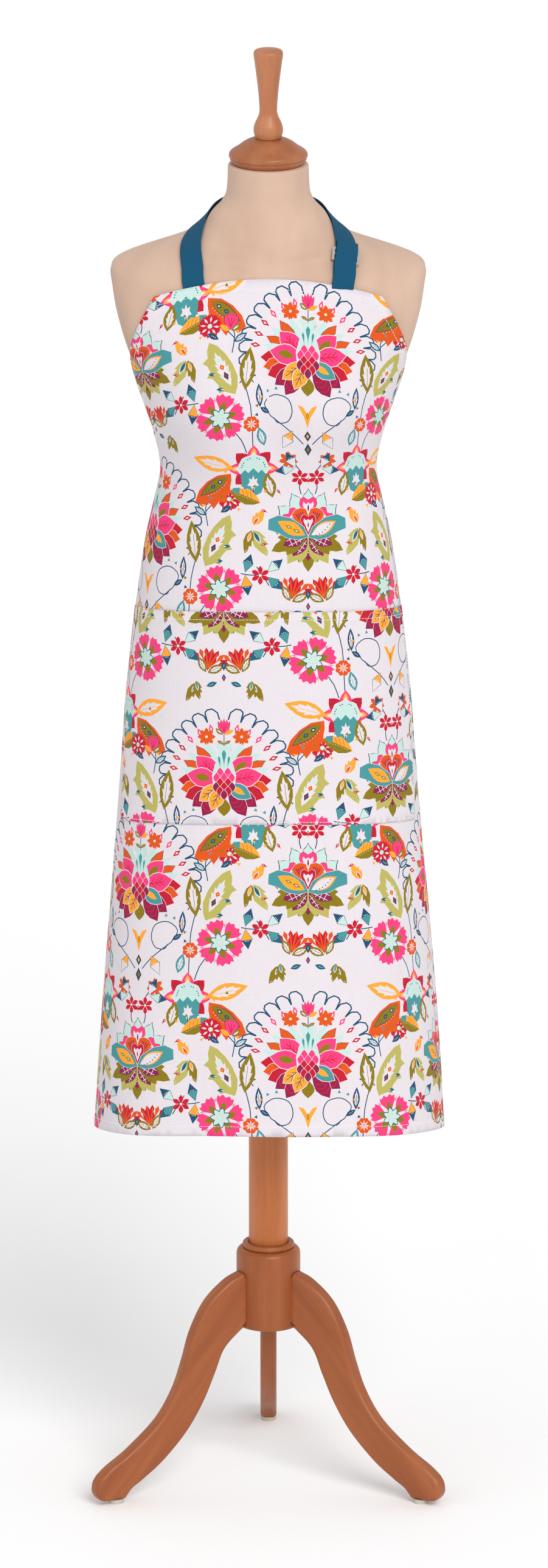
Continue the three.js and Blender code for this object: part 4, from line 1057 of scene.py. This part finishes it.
def pattern_cell():
    """One column of the pattern about its own axis: everything but the two great flowers is mirrored."""
    side = [(stroke(points, 1.15), NAVY) for points in (
        [(72, -28), (66, -52), (64, -80), (63, -100)], [(88, -76), (76, -92), (70, -108)],
        [(5, -96), (18, -82), (42, -64)], [(86, 8), (83, 28), (88, 44)], [(83, 24), (92, 34), (103, 44)],
        [(78, -26), (70, -18), (62, -26)], [(8, -132), (16, -120), (21, -108)],
        [(9, -144), (10, -152), (8, -160)],
        [(47, -250), (60, -254), (76, -252)], [(58, -244), (50, -256), (44, -266)])]
    curl = [(42, -64), (50, -50), (38, -40), (22, -44), (17, -58), (22, -70), (33, -72), (38, -66)]
    side.append((stroke(curl, 1.15, 3), NAVY))
    for k in range(9):
        scallop = []
        for lean, reach in ((0, 71), (1.4, 79.5), (5.2, 84.5), (9, 84.5), (11.4, 82)):
            turn = math.radians(4 + 11.6 * k + lean)
            scallop.append(((reach - 0.9 * k) * math.sin(turn), 2 + (reach - 0.9 * k) * math.cos(turn)))
        tip = math.radians(15.6 + 11.6 * k)
        scallop_end = ((70 - 0.9 * k) * math.sin(tip), 2 + (70 - 0.9 * k) * math.cos(tip))
        side.append((stroke(scallop, 1.7, 1), NAVY))
        side.append((stroke([scallop[-1], scallop_end], 1.7), NAVY))
    for turn in (14, 27, 40, 53, 66, 78):
        side += moved(moved(diamond(5.6, 12, PINK if turn < 45 else CRIMSON, GROUND), y=61), y=3, turn=-turn)
    for motif, x, y, turn, size in (
            (lobed_leaf(66, 32), 83, -38, -26, 1), (bordered_leaf(48, 18, OLIVE), 72, -34, 8, 1),
            (rosette(27.5), 100, -64, 15, 1), (rim_flower(9.4), 65, -73, 0, 1),
            (bordered_leaf(27, 8.4, NAVY), 55, -54, -3, 1), (dotted_leaf(14, 6, NAVY), 55, -54, 122, 1),
            (bordered_leaf(24, 11, TEAL), 50, -100, -16, 1), (bell_flower(), 62, -128, 0, 1),
            (kite(24, AMBER, GROUND), 28, -102, 28, 1),
            (star_flower(11, 7, ORANGE, GROUND), 22, -117, 0, 1),
            (kite(21, NAVY, GROUND), 14, -126, -30, 1), (kite(21, NAVY, MINT), 16, -128, -100, 1),
            (star_flower(10.4, 6, CRIMSON, GROUND), 9.6, -139, 0, 1), (daisy(14), 111, 40, 10, 1),
            (tulip(1.15), 88, 33, 6, 1), (dotted_leaf(15, 6.4, NAVY), 101, 24, -58, 1),
            (bordered_leaf(18, 8, PETROL), 84, 20, 58, 1),
            (star_flower(10.6, 8, ORANGE, MINT), 20, 53, 0, 1),
            (bordered_leaf(31, 15, OLIVE), 40, -164, -14, 1), (split_leaf(39), 54, -170, -68, 1),
            (flame_leaf(56, 34), 87, -134, -128, 1), (bordered_leaf(50, 20, AMBER), 84, -128, -74, 1),
            (feather(22, 13, AMBER, ORANGE), 62, -196, 34, 1),
            (feather(34, 17, MOSS, PETROL), 62, -202, 152, 1),
            (feather(28, 12, OLIVE, AMBER), 64, -202, 196, 1), (fan_bud(), 19, -282, 14, 1),
            (kite(22, NAVY, MINT), 46, -250, 50, 1), (kite(22, PETROL, TEAL), 46, -256, 130, 1),
            (star_flower(11, 6, CRIMSON, GROUND), 54, -254, 0, 1),
            (kite(21, NAVY, TEAL), 71, -250, 18, 1), (kite(23, NAVY, AMBER), 71, -254, 172, 1),
            (feather(26, 13, OLIVE, TEAL), 30, -296, 214, 1),
            (feather(22, 11, OLIVE, TEAL), 32, -294, 170, 1),
            (dotted_leaf(13, 6, PETROL), 20, -300, 70, 1)):
        side += moved(motif, x, y, turn, size)
    side += moved(confetti(24, 20, -100, (MINT, TEAL, TEAL, AMBER, OLIVE, NAVY)), 34, -58)
    side += moved(confetti(32, 40, -30, (AMBER, OLIVE, TEAL, MINT)), 70, -182)
    side += moved(confetti(22, 70, -60, (AMBER, MOSS, OLIVE, TEAL, AMBER)), 100, -186)
    side += moved(confetti(16, 60, -60, (MINT, OLIVE, AMBER)), 92, 66)
    middle = [(stroke([(0, 40), (0, 56)], 0.9), NAVY)] + moved(dotted_leaf(9, 4, OLIVE), 0, 44, 60)
    middle += moved(dotted_leaf(9, 4, OLIVE), 0, 44, -60) + moved(tulip(1.0), 0, 56)
    middle.append((mirrored([(0, -76), (-3.4, -64), (-11, -50), (-5, -52), (0, -60)]), AMBER))
    middle += moved(diamond(3, 9, OLIVE, AMBER), 0, -62)
    middle += moved(diamond(7.6, 13, SLATE, AMBER), 0, -86) + moved(diamond(8, 16, SLATE, OLIVE), 0, -103)
    middle += moved(diamond(6.4, 12, SLATE, TEAL), 0, -276) + moved(diamond(5, 9, SLATE, PINK), 0, -290)
    return side + moved(side, flip=True) + middle + great_bloom() + moved(fan_flower(), 0, -206)


PATTERN_CELL = anticlockwise(pattern_cell())


def pattern_over(low, high, shift):
    """All shapes of the repeating pattern that touch a box on the flat cloth."""
    result = []
    for column in range(-4, 5):
        for row in range(-6, 7):
            x = shift[0] + column * REPEAT_WIDTH
            y = shift[1] + row * REPEAT_HEIGHT + (REPEAT_HEIGHT / 2 if column % 2 else 0)
            if low[0] - 130 < x < high[0] + 130 and low[1] - 100 < y < high[1] + 320:
                for outline, ink in moved(PATTERN_CELL, x, y):
                    xs, ys = [p[0] for p in outline], [p[1] for p in outline]
                    if max(xs) > low[0] and min(xs) < high[0] and max(ys) > low[1] and min(ys) < high[1]:
                        result.append((outline, ink))
    return result


# ---- Apron cloth -------------------------------------------------------------------------------
# Half widths of the cut cloth, and how far its level lines hang at the sides, against the middle's height.
CLOTH_HALF_WIDTHS = [(456, 345), (820, 322), (1100, 300), (1210, 291), (1245, 285), (1290, 252), (1345, 205),
                     (1400, 166), (1453, 130)]
CLOTH_SAG = [(456, 0.00042), (1100, 0.0005), (1300, 0.0006), (1453, 0.0013)]
HEM_HEIGHT, BIB_TOP = 456, 1453
POCKET_BOTTOM, POCKET_TOP, POCKET_HALF_WIDTH = 822, 1070, 196
CLOTH_LIFT = 3.0          # from the dress form's surface to the cloth's inner face
CLOTH_THICKNESS = 0.7
HEM_WIDTH = 14
CLOTH_ARCS = ArcTable(CLOTH_SECTIONS, 380, 1480)


def half_width(level):
    return smooth_rows(CLOTH_HALF_WIDTHS, level)[:, 0]


def waves(distance, level):
    """Soft folds that grow towards the lower hem, and faint pulls from the corners that hold the ties."""
    drop = np.clip((1180 - level) / 720, 0, 1) ** 1.5
    ripple = 1.4 * np.sin(distance / 24 + level / 260)
    slow = 3.0 * np.sin(distance / 47 + 0.6) * np.cos(distance / 130 - 0.4) + ripple
    corner = np.hypot(np.abs(distance) - 285, (level - 1212) * 1.15)
    turn = np.arctan2(level - 1212, 285 - np.abs(distance))
    pulls = 0.7 * np.sin(turn * 9 + 1) * np.exp(-((corner - 60) / 45) ** 2)
    straps = 0.6 * np.exp(-(((np.abs(distance) - 104) / 17) ** 4) - ((level - 1446) / 24) ** 4)
    return drop * slow + pulls + drop + straps


def cloth_place(distance, level, lift):
    """Points on the worn cloth for places on the flat cloth."""
    distance, level = np.asarray(distance, float), np.asarray(level, float)
    height = level - smooth_rows(CLOTH_SAG, level.ravel())[:, 0].reshape(level.shape) * distance**2
    azimuth = CLOTH_ARCS.azimuth(distance, height)
    rise = (lift + waves(distance, level))[..., None]
    return body_point(CLOTH_SECTIONS, azimuth, height) + rise * body_normal(CLOTH_SECTIONS, azimuth, height)


def edge_distance(points, outline):
    """Distance from each point to the nearest part of a closed outline."""
    best = np.full(len(points), 1e9)
    for start, end in zip(outline, np.roll(outline, -1, axis=0)):
        way = end - start
        share = np.clip(((points - start) @ way) / max(way @ way, 1e-9), 0, 1)
        best = np.minimum(best, np.linalg.norm(points - start - share[:, None] * way, axis=1))
    return best


def shrunk(outline, distance):
    """The outline moved inwards by a distance; it runs anticlockwise and has sharp corners."""
    before = outline - np.roll(outline, 1, axis=0)
    after = np.roll(outline, -1, axis=0) - outline
    before /= np.linalg.norm(before, axis=1)[:, None]
    after /= np.linalg.norm(after, axis=1)[:, None]
    inward = np.stack([-(before + after)[:, 1], (before + after)[:, 0]], 1)
    inward /= (1 + (before * after).sum(1))[:, None]
    return outline + inward * distance


PATCH, GRID = 72.0, 14.4


def cut_print(outline, shift, hidden):
    """Flat vertices, triangles and their inks: the print cut into the cloth patch by patch, then welded."""
    low, high = outline.min(0), outline.max(0)
    rim = [tuple(p) for p in outline]
    hems = [[tuple(p) for p in shrunk(outline, inward)] for inward in (HEM_WIDTH - 0.9, HEM_WIDTH + 0.5)]
    shapes = []
    boxes = []
    for motif, ink in pattern_over(low, high, shift):
        points = np.array(motif)
        box = (*points.min(0), *points.max(0))
        if not (box[0] > hidden[0] and box[1] > hidden[1] and box[2] < hidden[2] and box[3] < hidden[3]):
            shapes.append((motif, ink))
            boxes.append(box)
    boxes = np.array(boxes)
    flat = bmesh.new()
    ink_layer = flat.faces.layers.int.new("ink")
    steps = np.arange(0, PATCH, GRID)
    for x in np.arange(math.floor(low[0] / PATCH) * PATCH, high[0], PATCH):
        for y in np.arange(math.floor(low[1] / PATCH) * PATCH, high[1], PATCH):
            points = [(x + s, y) for s in steps] + [(x + PATCH, y + s) for s in steps]
            points += [(x + PATCH - s, y + PATCH) for s in steps] + [(x, y + PATCH - s) for s in steps]
            faces = [list(range(len(points))), list(range(len(points), len(points) + len(rim)))]
            points += rim
            inks = [GROUND, GROUND]
            edges = []
            for loop in hems:
                start = len(points)
                points += loop
                edges += [(start + k, start + (k + 1) % len(loop)) for k in range(len(loop))]
            near = (boxes[:, 0] < x + PATCH + 1) & (boxes[:, 2] > x - 1)
            near &= (boxes[:, 1] < y + PATCH + 1) & (boxes[:, 3] > y - 1)
            for k in np.nonzero(near)[0]:
                faces.append(list(range(len(points), len(points) + len(shapes[k][0]))))
                points += shapes[k][0]
                inks.append(shapes[k][1])
            for j, t in enumerate(steps[1:]):
                points += [(x + s + GRID * (j % 2) / 2, y + t) for s in steps[1:]]
            made = delaunay_2d_cdt([Vector(p) for p in points], edges, faces, 0, 1e-4, True)
            corners = {}
            for face, sources in zip(made[2], made[5]):
                if 0 in sources and 1 in sources:
                    for v in face:
                        if v not in corners:
                            corners[v] = flat.verts.new((*made[0][v], 0))
                    flat.faces.new([corners[v] for v in face])[ink_layer] = inks[max(sources)]
    bmesh.ops.remove_doubles(flat, verts=flat.verts, dist=0.003)
    flat.verts.index_update()
    places = np.array([v.co[:2] for v in flat.verts])
    triangles = [tuple(v.index for v in f.verts) for f in flat.faces]
    inks = [f[ink_layer] for f in flat.faces]
    flat.free()
    return places, triangles, inks


def printed_sheet(name, outline, shift, lift_at, hidden=(0, 0, 0, 0)):
    """A closed sheet of cloth: the print is cut into its front face, and a plain back closes it."""
    outline = np.array(outline)
    low, high = outline.min(0), outline.max(0)
    front, kept, colours = cut_print(outline, shift, hidden)
    following = {}
    paired = {(a, b) for f in kept for a, b in zip(f, f[1:] + f[:1])}
    for a, b in paired:
        if (b, a) not in paired:
            following[a] = b
    start = min(following, key=lambda v: front[v][0] + front[v][1])
    rim = [start]
    while following[rim[-1]] != start:
        rim.append(following[rim[-1]])
    inner = [p for j, y in enumerate(np.arange(low[1] + 18, high[1], 18.0))
             for p in ((float(x), float(y)) for x in np.arange(low[0] + 6 + 9 * (j % 2), high[0], 18.0))]
    inner = [p for p, gap in zip(inner, edge_distance(np.array(inner), outline)) if gap > 3]
    back_points = [tuple(p) for p in front[rim]] + inner
    back_made = delaunay_2d_cdt([Vector(p) for p in back_points], [], [list(range(len(rim)))], 0, 1e-5, True)
    back_flat = np.array([tuple(v) for v in back_made[0]])
    back_faces = [tuple(f) for f, sources in zip(back_made[2], back_made[5]) if 0 in sources]
    origin = {}
    for v, sources in enumerate(back_made[3]):
        for source in sources:
            origin[source] = v
    base = len(front)
    total_faces = list(kept)
    total_faces += [tuple(base + v for v in reversed(face)) for face in back_faces]
    for k in range(len(rim)):
        after = (k + 1) % len(rim)
        total_faces.append((rim[after], rim[k], base + origin[k], base + origin[after]))
    flat_all = np.vstack([front, back_flat])
    gap = edge_distance(flat_all, outline)
    hem = np.clip((HEM_WIDTH - gap) / 0.9, 0, 1)
    hem = hem * hem * (3 - 2 * hem)
    is_front = np.arange(len(flat_all)) < base
    lift = lift_at(flat_all[:, 0], flat_all[:, 1]) + np.where(is_front, CLOTH_THICKNESS + 0.35 * hem, 0.0)
    rounding = np.clip(1 - gap / 0.5, 0, 1) * 0.2
    lift += np.where(is_front, -rounding, rounding)
    placed = cloth_place(flat_all[:, 0], flat_all[:, 1], lift)
    sheet = make_piece(name, in_frame(placed), total_faces, "form", PRINTED)
    set_vectors(sheet, "Cloth", np.column_stack([flat_all, 0 * gap]))
    corner_inks = []
    for face, ink in zip(total_faces, colours + [GROUND] * (len(total_faces) - len(colours))):
        corner_inks += INKS[ink] * len(face)
    layer = sheet.data.color_attributes.new("Print", "FLOAT_COLOR", "CORNER")
    layer.data.foreach_set("color", corner_inks)
    uv = sheet.data.uv_layers.new(name="OFBake")
    places = []
    span = max(high - low) + 4
    for k, face in enumerate(total_faces):
        aside = 0.0 if k < len(kept) else 1.0
        for v in face:
            across = (flat_all[v, 0] - low[0] + 2) / span
            places += [0.002 + 0.5 * aside + 0.49 * across, (flat_all[v, 1] - low[1] + 2) / span]
    uv.data.foreach_set("uv", places)
    return sheet


def panel_outline():
    """The cut shape of the apron, anticlockwise from the lower left corner."""
    levels = np.concatenate([np.arange(HEM_HEIGHT, 1210, 14.0), np.arange(1210, BIB_TOP, 6.0), [BIB_TOP]])
    right = [(float(w), float(v)) for v, w in zip(levels, half_width(levels))]
    bottom = [(float(x), float(HEM_HEIGHT)) for x in np.arange(-345 + 10, 345, 10.0)]
    top = [(float(x), float(BIB_TOP)) for x in np.arange(130 - 8, -130, -8.0)]
    left = [(-x, y) for x, y in reversed(right)]
    return [left[-1]] + bottom + right + top + left[:-1]


def make_apron():
    outline = panel_outline()
    hidden = (-POCKET_HALF_WIDTH + 8, POCKET_BOTTOM + 8, POCKET_HALF_WIDTH - 8, POCKET_TOP - 8)
    panel = printed_sheet("apron_cloth", outline, (45, 1366), lambda s, v: CLOTH_LIFT + 0 * s, hidden)
    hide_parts("apron_panel")
    return panel, outline


def pocket_lift(distance, level):
    """The pocket lies on the apron where it is sewn, and stands off it towards the middle of its mouth."""
    rise = np.clip((level - POCKET_BOTTOM) / (POCKET_TOP - POCKET_BOTTOM), 0, 1) ** 2
    middle = np.clip(1 - (np.abs(distance) / POCKET_HALF_WIDTH) ** 4, 0, 1)
    return CLOTH_LIFT + CLOTH_THICKNESS + 0.25 + 1.2 * rise * middle


def make_pocket():
    wide, low, high = POCKET_HALF_WIDTH, POCKET_BOTTOM, POCKET_TOP
    outline = [(float(x), float(low)) for x in np.arange(-wide, wide, 8.0)]
    outline += [(float(wide), float(y)) for y in np.arange(low, high, 8.0)]
    outline += [(float(x), float(high)) for x in np.arange(wide, -wide, -8.0)]
    outline += [(float(-wide), float(y)) for y in np.arange(high, low, -8.0)]
    pocket = printed_sheet("pocket_cloth", outline, (150, 1078), pocket_lift)
    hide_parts("apron_pocket")
    return pocket


apron_cloth, apron_outline = make_apron()
pocket_cloth = make_pocket()


# ---- Stitching ---------------------------------------------------------------------------------
def stitch_row(path, stitch=2.9, gap=0.9):
    """Start and end places of even stitches along a path on the flat cloth."""
    path = np.array(path, float)
    reach = np.concatenate([[0], np.cumsum(np.linalg.norm(np.diff(path, axis=0), axis=1))])
    starts = np.arange(gap, reach[-1] - stitch, stitch + gap)
    place = lambda at: np.stack([np.interp(at, reach, path[:, 0]), np.interp(at, reach, path[:, 1])], 1)
    return np.stack([place(starts + stitch * k / 3) for k in range(4)], 1)


def make_stitching(name, rows, lift_at):
    vertices, faces = [], []
    arch = np.array([-0.2, 0.16, 0.16, -0.2])
    for row in rows:
        for stitch in stitch_row(row):
            lift = lift_at(stitch[:, 0], stitch[:, 1]) + CLOTH_THICKNESS + 0.35 + arch
            points, sides = swept_tube(cloth_place(stitch[:, 0], stitch[:, 1], lift), 0.26, 5)
            faces += [tuple(len(vertices) + v for v in face) for face in sides]
            vertices += [tuple(p) for p in points]
    seam = make_piece(name, in_frame(vertices), faces, "form", THREAD)
    set_vectors(seam, "Cloth", vertices)
    return seam


def make_cloth_stitching():
    loop = shrunk(np.array(apron_outline), HEM_WIDTH - 2.4)
    rows = [np.vstack([loop, loop[:1]])]
    rows += [[(sign * (104 - 12), BIB_TOP - 9), (sign * (104 + 12), BIB_TOP - 9)] for sign in (-1, 1)]
    make_stitching("apron_stitching", rows, lambda s, v: CLOTH_LIFT + 0 * s)
    wide, low, high = POCKET_HALF_WIDTH - 2.5, POCKET_BOTTOM + 3, POCKET_TOP - 9
    rows = [[(-wide, high), (wide, high)], [(-wide, high), (-wide, low), (wide, low), (wide, high)]]
    make_stitching("pocket_stitching", rows, pocket_lift)


# ---- Webbing: neck strap, ties and bow ---------------------------------------------------------
WEBBING_WIDTH, WEBBING_THICKNESS = 25, 1.3
STRAP_ROUTE = [(43.2, 1416), (45.8, 1431), (48.5, 1446.5), (54, 1464), (63.5, 1479), (78, 1490.5),
               (97, 1499), (117, 1506), (138, 1511), (159, 1514), (180, 1515)]
RETURN_ROUTE = [(66.4, 1482), (65, 1480.6), (63, 1478.5), (58, 1471.5), (54, 1464), (51, 1455),
                (48.5, 1446.5), (45.8, 1431), (43.6, 1419)]
TIE_HEIGHT = 1204
KNOT_HEIGHT = 1209
KNOT_GAP = 4.5            # from the dress form's back to the knot


def webbing_strip(name, centres, across, widths=None, cup=0.0, stands_for=None):
    """A strip of webbing along centre points, with rounded edges; cup bends its edges to one side."""
    centres, across = np.asarray(centres, float), np.asarray(across, float)
    along = np.gradient(centres, axis=0)
    along /= np.linalg.norm(along, axis=1)[:, None]
    across -= (across * along).sum(1)[:, None] * along
    across /= np.linalg.norm(across, axis=1)[:, None]
    out = np.cross(along, across)
    count = len(centres)
    widths = np.full(count, float(WEBBING_WIDTH)) if widths is None else np.asarray(widths, float)
    shares = np.array([-1, -0.975, -0.9, -0.6, -0.3, 0, 0.3, 0.6, 0.9, 0.975, 1])
    thick = WEBBING_THICKNESS / 2 * np.array([0.35, 0.8, 1, 1, 1, 1, 1, 1, 1, 0.8, 0.35])
    rings, cloth = [], []
    reach = np.concatenate([[0], np.cumsum(np.linalg.norm(np.diff(centres, axis=0), axis=1))])
    for face in (1, -1):
        order = range(len(shares)) if face > 0 else range(len(shares) - 1, -1, -1)
        for k in order:
            rise = face * thick[k] + cup * (shares[k] ** 2)
            rings.append(centres + across * (shares[k] * widths / 2)[:, None] + out * rise)
            aside = shares[k] * WEBBING_WIDTH / 2
            cloth.append(np.stack([reach, np.full(count, aside), np.full(count, float(face))], 1))
    points = np.stack(rings, 1).reshape(-1, 3)
    places = np.stack(cloth, 1).reshape(-1, 3)
    sides = len(rings)
    faces = grid_faces(count, sides, True)
    faces.append(tuple(range(sides - 1, -1, -1)))
    faces.append(tuple(range((count - 1) * sides, count * sides)))
    strip = make_piece(name, in_frame(points), faces, "form", WEBBING)
    set_vectors(strip, "Cloth", places)
    if stands_for:
        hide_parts(stands_for)
    return strip, reach[-1]


def torso_route(route, lift_at, steps):
    """Centre points and width directions along a route of azimuths in degrees and heights."""
    places = spline(route, steps)
    azimuth, height = np.radians(places[:, 0]), places[:, 1]
    normal = body_normal(TORSO_SECTIONS, azimuth, height)
    share = np.linspace(0, 1, len(places))
    points = body_point(TORSO_SECTIONS, azimuth, height) + lift_at(height, share)[:, None] * normal
    return points, np.cross(normal, np.gradient(points, axis=0))


def smooth_step(value, low, high):
    share = np.clip((value - low) / (high - low), 0, 1)
    return share * share * (3 - 2 * share)


def make_neck_strap():
    route = [(-turn, height) for turn, height in STRAP_ROUTE]
    route += [(turn - 360, height) for turn, height in STRAP_ROUTE[-2::-1]]
    lift = lambda height, share: 0.9 + 2.8 * smooth_step(height, 1434, 1456)
    centres, across = torso_route(route, lift, 9)
    strap, length = webbing_strip("neck_strap", centres, across, stands_for="neck_strap_long")

    def lift_over_slider(height, share):
        over = 3.5 * smooth_step(height, 1434, 1452)
        return 2.15 + over + 4.6 * smooth_step(height, 1450, 1466) - 5.0 * smooth_step(-share, -0.14, -0.0)

    centres, across = torso_route(RETURN_ROUTE, lift_over_slider, 8)
    turned_back, length = webbing_strip("neck_strap_turned_back", centres, across,
                                        stands_for="neck_strap_return")


def make_ties():
    corner = math.degrees(float(CLOTH_ARCS.azimuth(np.array([287.0]), np.array([float(TIE_HEIGHT)]))[0]))
    lift = lambda height, share: 1.1 + 2.0 * smooth_step(share, 0.3, 0.9)
    for side, sign in (("left", -1), ("right", 1)):
        shares = np.linspace(0, 1, 9)
        route = [(sign * (corner - 4 + (178.6 - corner + 4) * t), TIE_HEIGHT + 5 * t) for t in shares]
        centres, across = torso_route(route, lift, 8)
        tie, length = webbing_strip("waist_tie_strap_" + side, centres, across,
                                    stands_for="waist_tie_" + side)


def make_knot(back):
    """The knot: webbing wrapped once round the crossing, drawn in at the middle, with soft creases."""
    sides, levels = 48, 17
    turns = np.linspace(0, 2 * math.pi, sides, endpoint=False)
    points, cloth = [], []
    for k in range(levels):
        share = 2 * k / (levels - 1) - 1
        end = (1 - abs(share) ** 6) ** 0.5 if abs(share) < 1 else 0.35
        pinch = 0.86 + 0.14 * share * share
        crease = 1 + 0.035 * np.sin(turns * 5 + 3 * share)
        x = 11 * max(end, 0.35) * pinch * crease * np.sin(turns)
        y = back + 5.5 - 5.5 * max(end, 0.35) * crease * np.cos(turns)
        z = KNOT_HEIGHT + 12 * share + 0.9 * np.sin(turns + 0.7)
        points.append(np.stack([x, y, z], 1))
        cloth.append(np.stack([turns * 9, np.full(sides, 12 * share), 0 * turns], 1))
    faces = grid_faces(levels, sides, True)
    faces.append(tuple(range(sides - 1, -1, -1)))
    faces.append(tuple(range((levels - 1) * sides, levels * sides)))
    knot = make_piece("bow_knot_wrapped", in_frame(np.concatenate(points)), faces, "form", WEBBING)
    set_vectors(knot, "Cloth", np.concatenate(cloth))
    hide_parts("bow_knot")


def make_bow(back):
    droop = math.radians(14)
    profile = [(0, 2.2), (0.22, 5), (0.55, 9), (0.85, 9.5), (0.99, 4), (0.98, -2), (0.82, -5),
               (0.5, -3.5), (0.2, -2), (0, -1.6)]
    for side, sign in (("left", -1), ("right", 1)):
        out = np.array([sign * math.cos(droop), 0, -math.sin(droop)])
        start = np.array([sign * 12.2, back + 7, KNOT_HEIGHT])
        shape = spline([start + out * 84 * reach + np.array([0, depth, 0]) for reach, depth in profile], 9)
        reach = np.abs(shape[:, 0] - start[0])
        width = 15 + 10 * smooth_step(reach, 2, 34)
        twist = 0.1 * np.sin(np.linspace(0, math.pi, len(shape)))
        across = np.stack([sign * math.sin(droop) + 0 * twist, twist, math.cos(droop) + 0 * twist], 1)
        loop, length = webbing_strip("bow_loop_strap_" + side, shape, across, width,
                                     stands_for="bow_loop_" + side)
    for side, sign, length in (("left", -1, 330), ("right", 1, 297)):
        share = np.linspace(0, 1, 90)
        height = KNOT_HEIGHT - 10 - length * share
        azimuth = math.pi - sign * (0.17 + 0.2 * share)
        lift = 5.2 + 3 * np.sin(math.pi * share) + 0.9 * np.sin(share * 11 + sign) * share
        normal = body_normal(TORSO_SECTIONS, azimuth, height)
        centres = body_point(TORSO_SECTIONS, azimuth, height) + lift[:, None] * normal
        across = np.stack([1 + 0 * share, -0.1 * sign + 0.12 * np.sin(share * 7 + 1), 0 * share], 1)
        width = 17 + 8 * smooth_step(share, 0, 0.09)
        tail, reach = webbing_strip("tie_tail_strap_" + side, centres, across, width,
                                    stands_for="tie_tail_" + side)


make_cloth_stitching()
make_neck_strap()
make_ties()
knot_back = body_point(TORSO_SECTIONS, math.pi, KNOT_HEIGHT)[1] + KNOT_GAP
make_knot(knot_back)
make_bow(knot_back)


# ---- Stage -------------------------------------------------------------------------------------
def make_stage():
    look = Look("floor", 0.9, Specular_IOR_Level=0.1)
    place = look.node("TexCoord").outputs["Object"]
    tones = [(0.3, (0.925, 0.925, 0.925, 1)), (0.7, (0.935, 0.935, 0.935, 1))]
    look.colour(look.ramp(look.noise(place, 3.0, 3.0), tones))
    mesh = bpy.data.meshes.new("floor")
    half = 40.0
    corners = [(-half, -half, 0), (half, -half, 0), (half, half, 0), (-half, half, 0)]
    mesh.from_pydata(corners, [], [(0, 1, 2, 3)])
    floor = bpy.data.objects.new("floor", mesh)
    mesh.materials.append(look.material)
    bpy.context.scene.collection.objects.link(floor)


def make_lights():
    world = bpy.data.worlds.new("studio")
    bpy.context.scene.world = world
    world.use_nodes = True
    world.node_tree.nodes["Background"].inputs["Color"].default_value = (1, 1, 1, 1)
    world.node_tree.nodes["Background"].inputs["Strength"].default_value = 0.72
    lamps = (("key", 1.75, 32, (0.4, -1, 0.85)), ("fill", 0.25, 60, (-0.9, -0.8, 0.5)))
    for name, strength, angle, direction in lamps:
        data = bpy.data.lights.new(name, "SUN")
        data.energy = strength
        data.angle = math.radians(angle)
        light = bpy.data.objects.new(name, data)
        light.rotation_euler = Vector(direction).to_track_quat("Z", "Y").to_euler()
        bpy.context.scene.collection.objects.link(light)
    bpy.context.scene.view_settings.view_transform = "Standard"


make_stage()
make_lights()
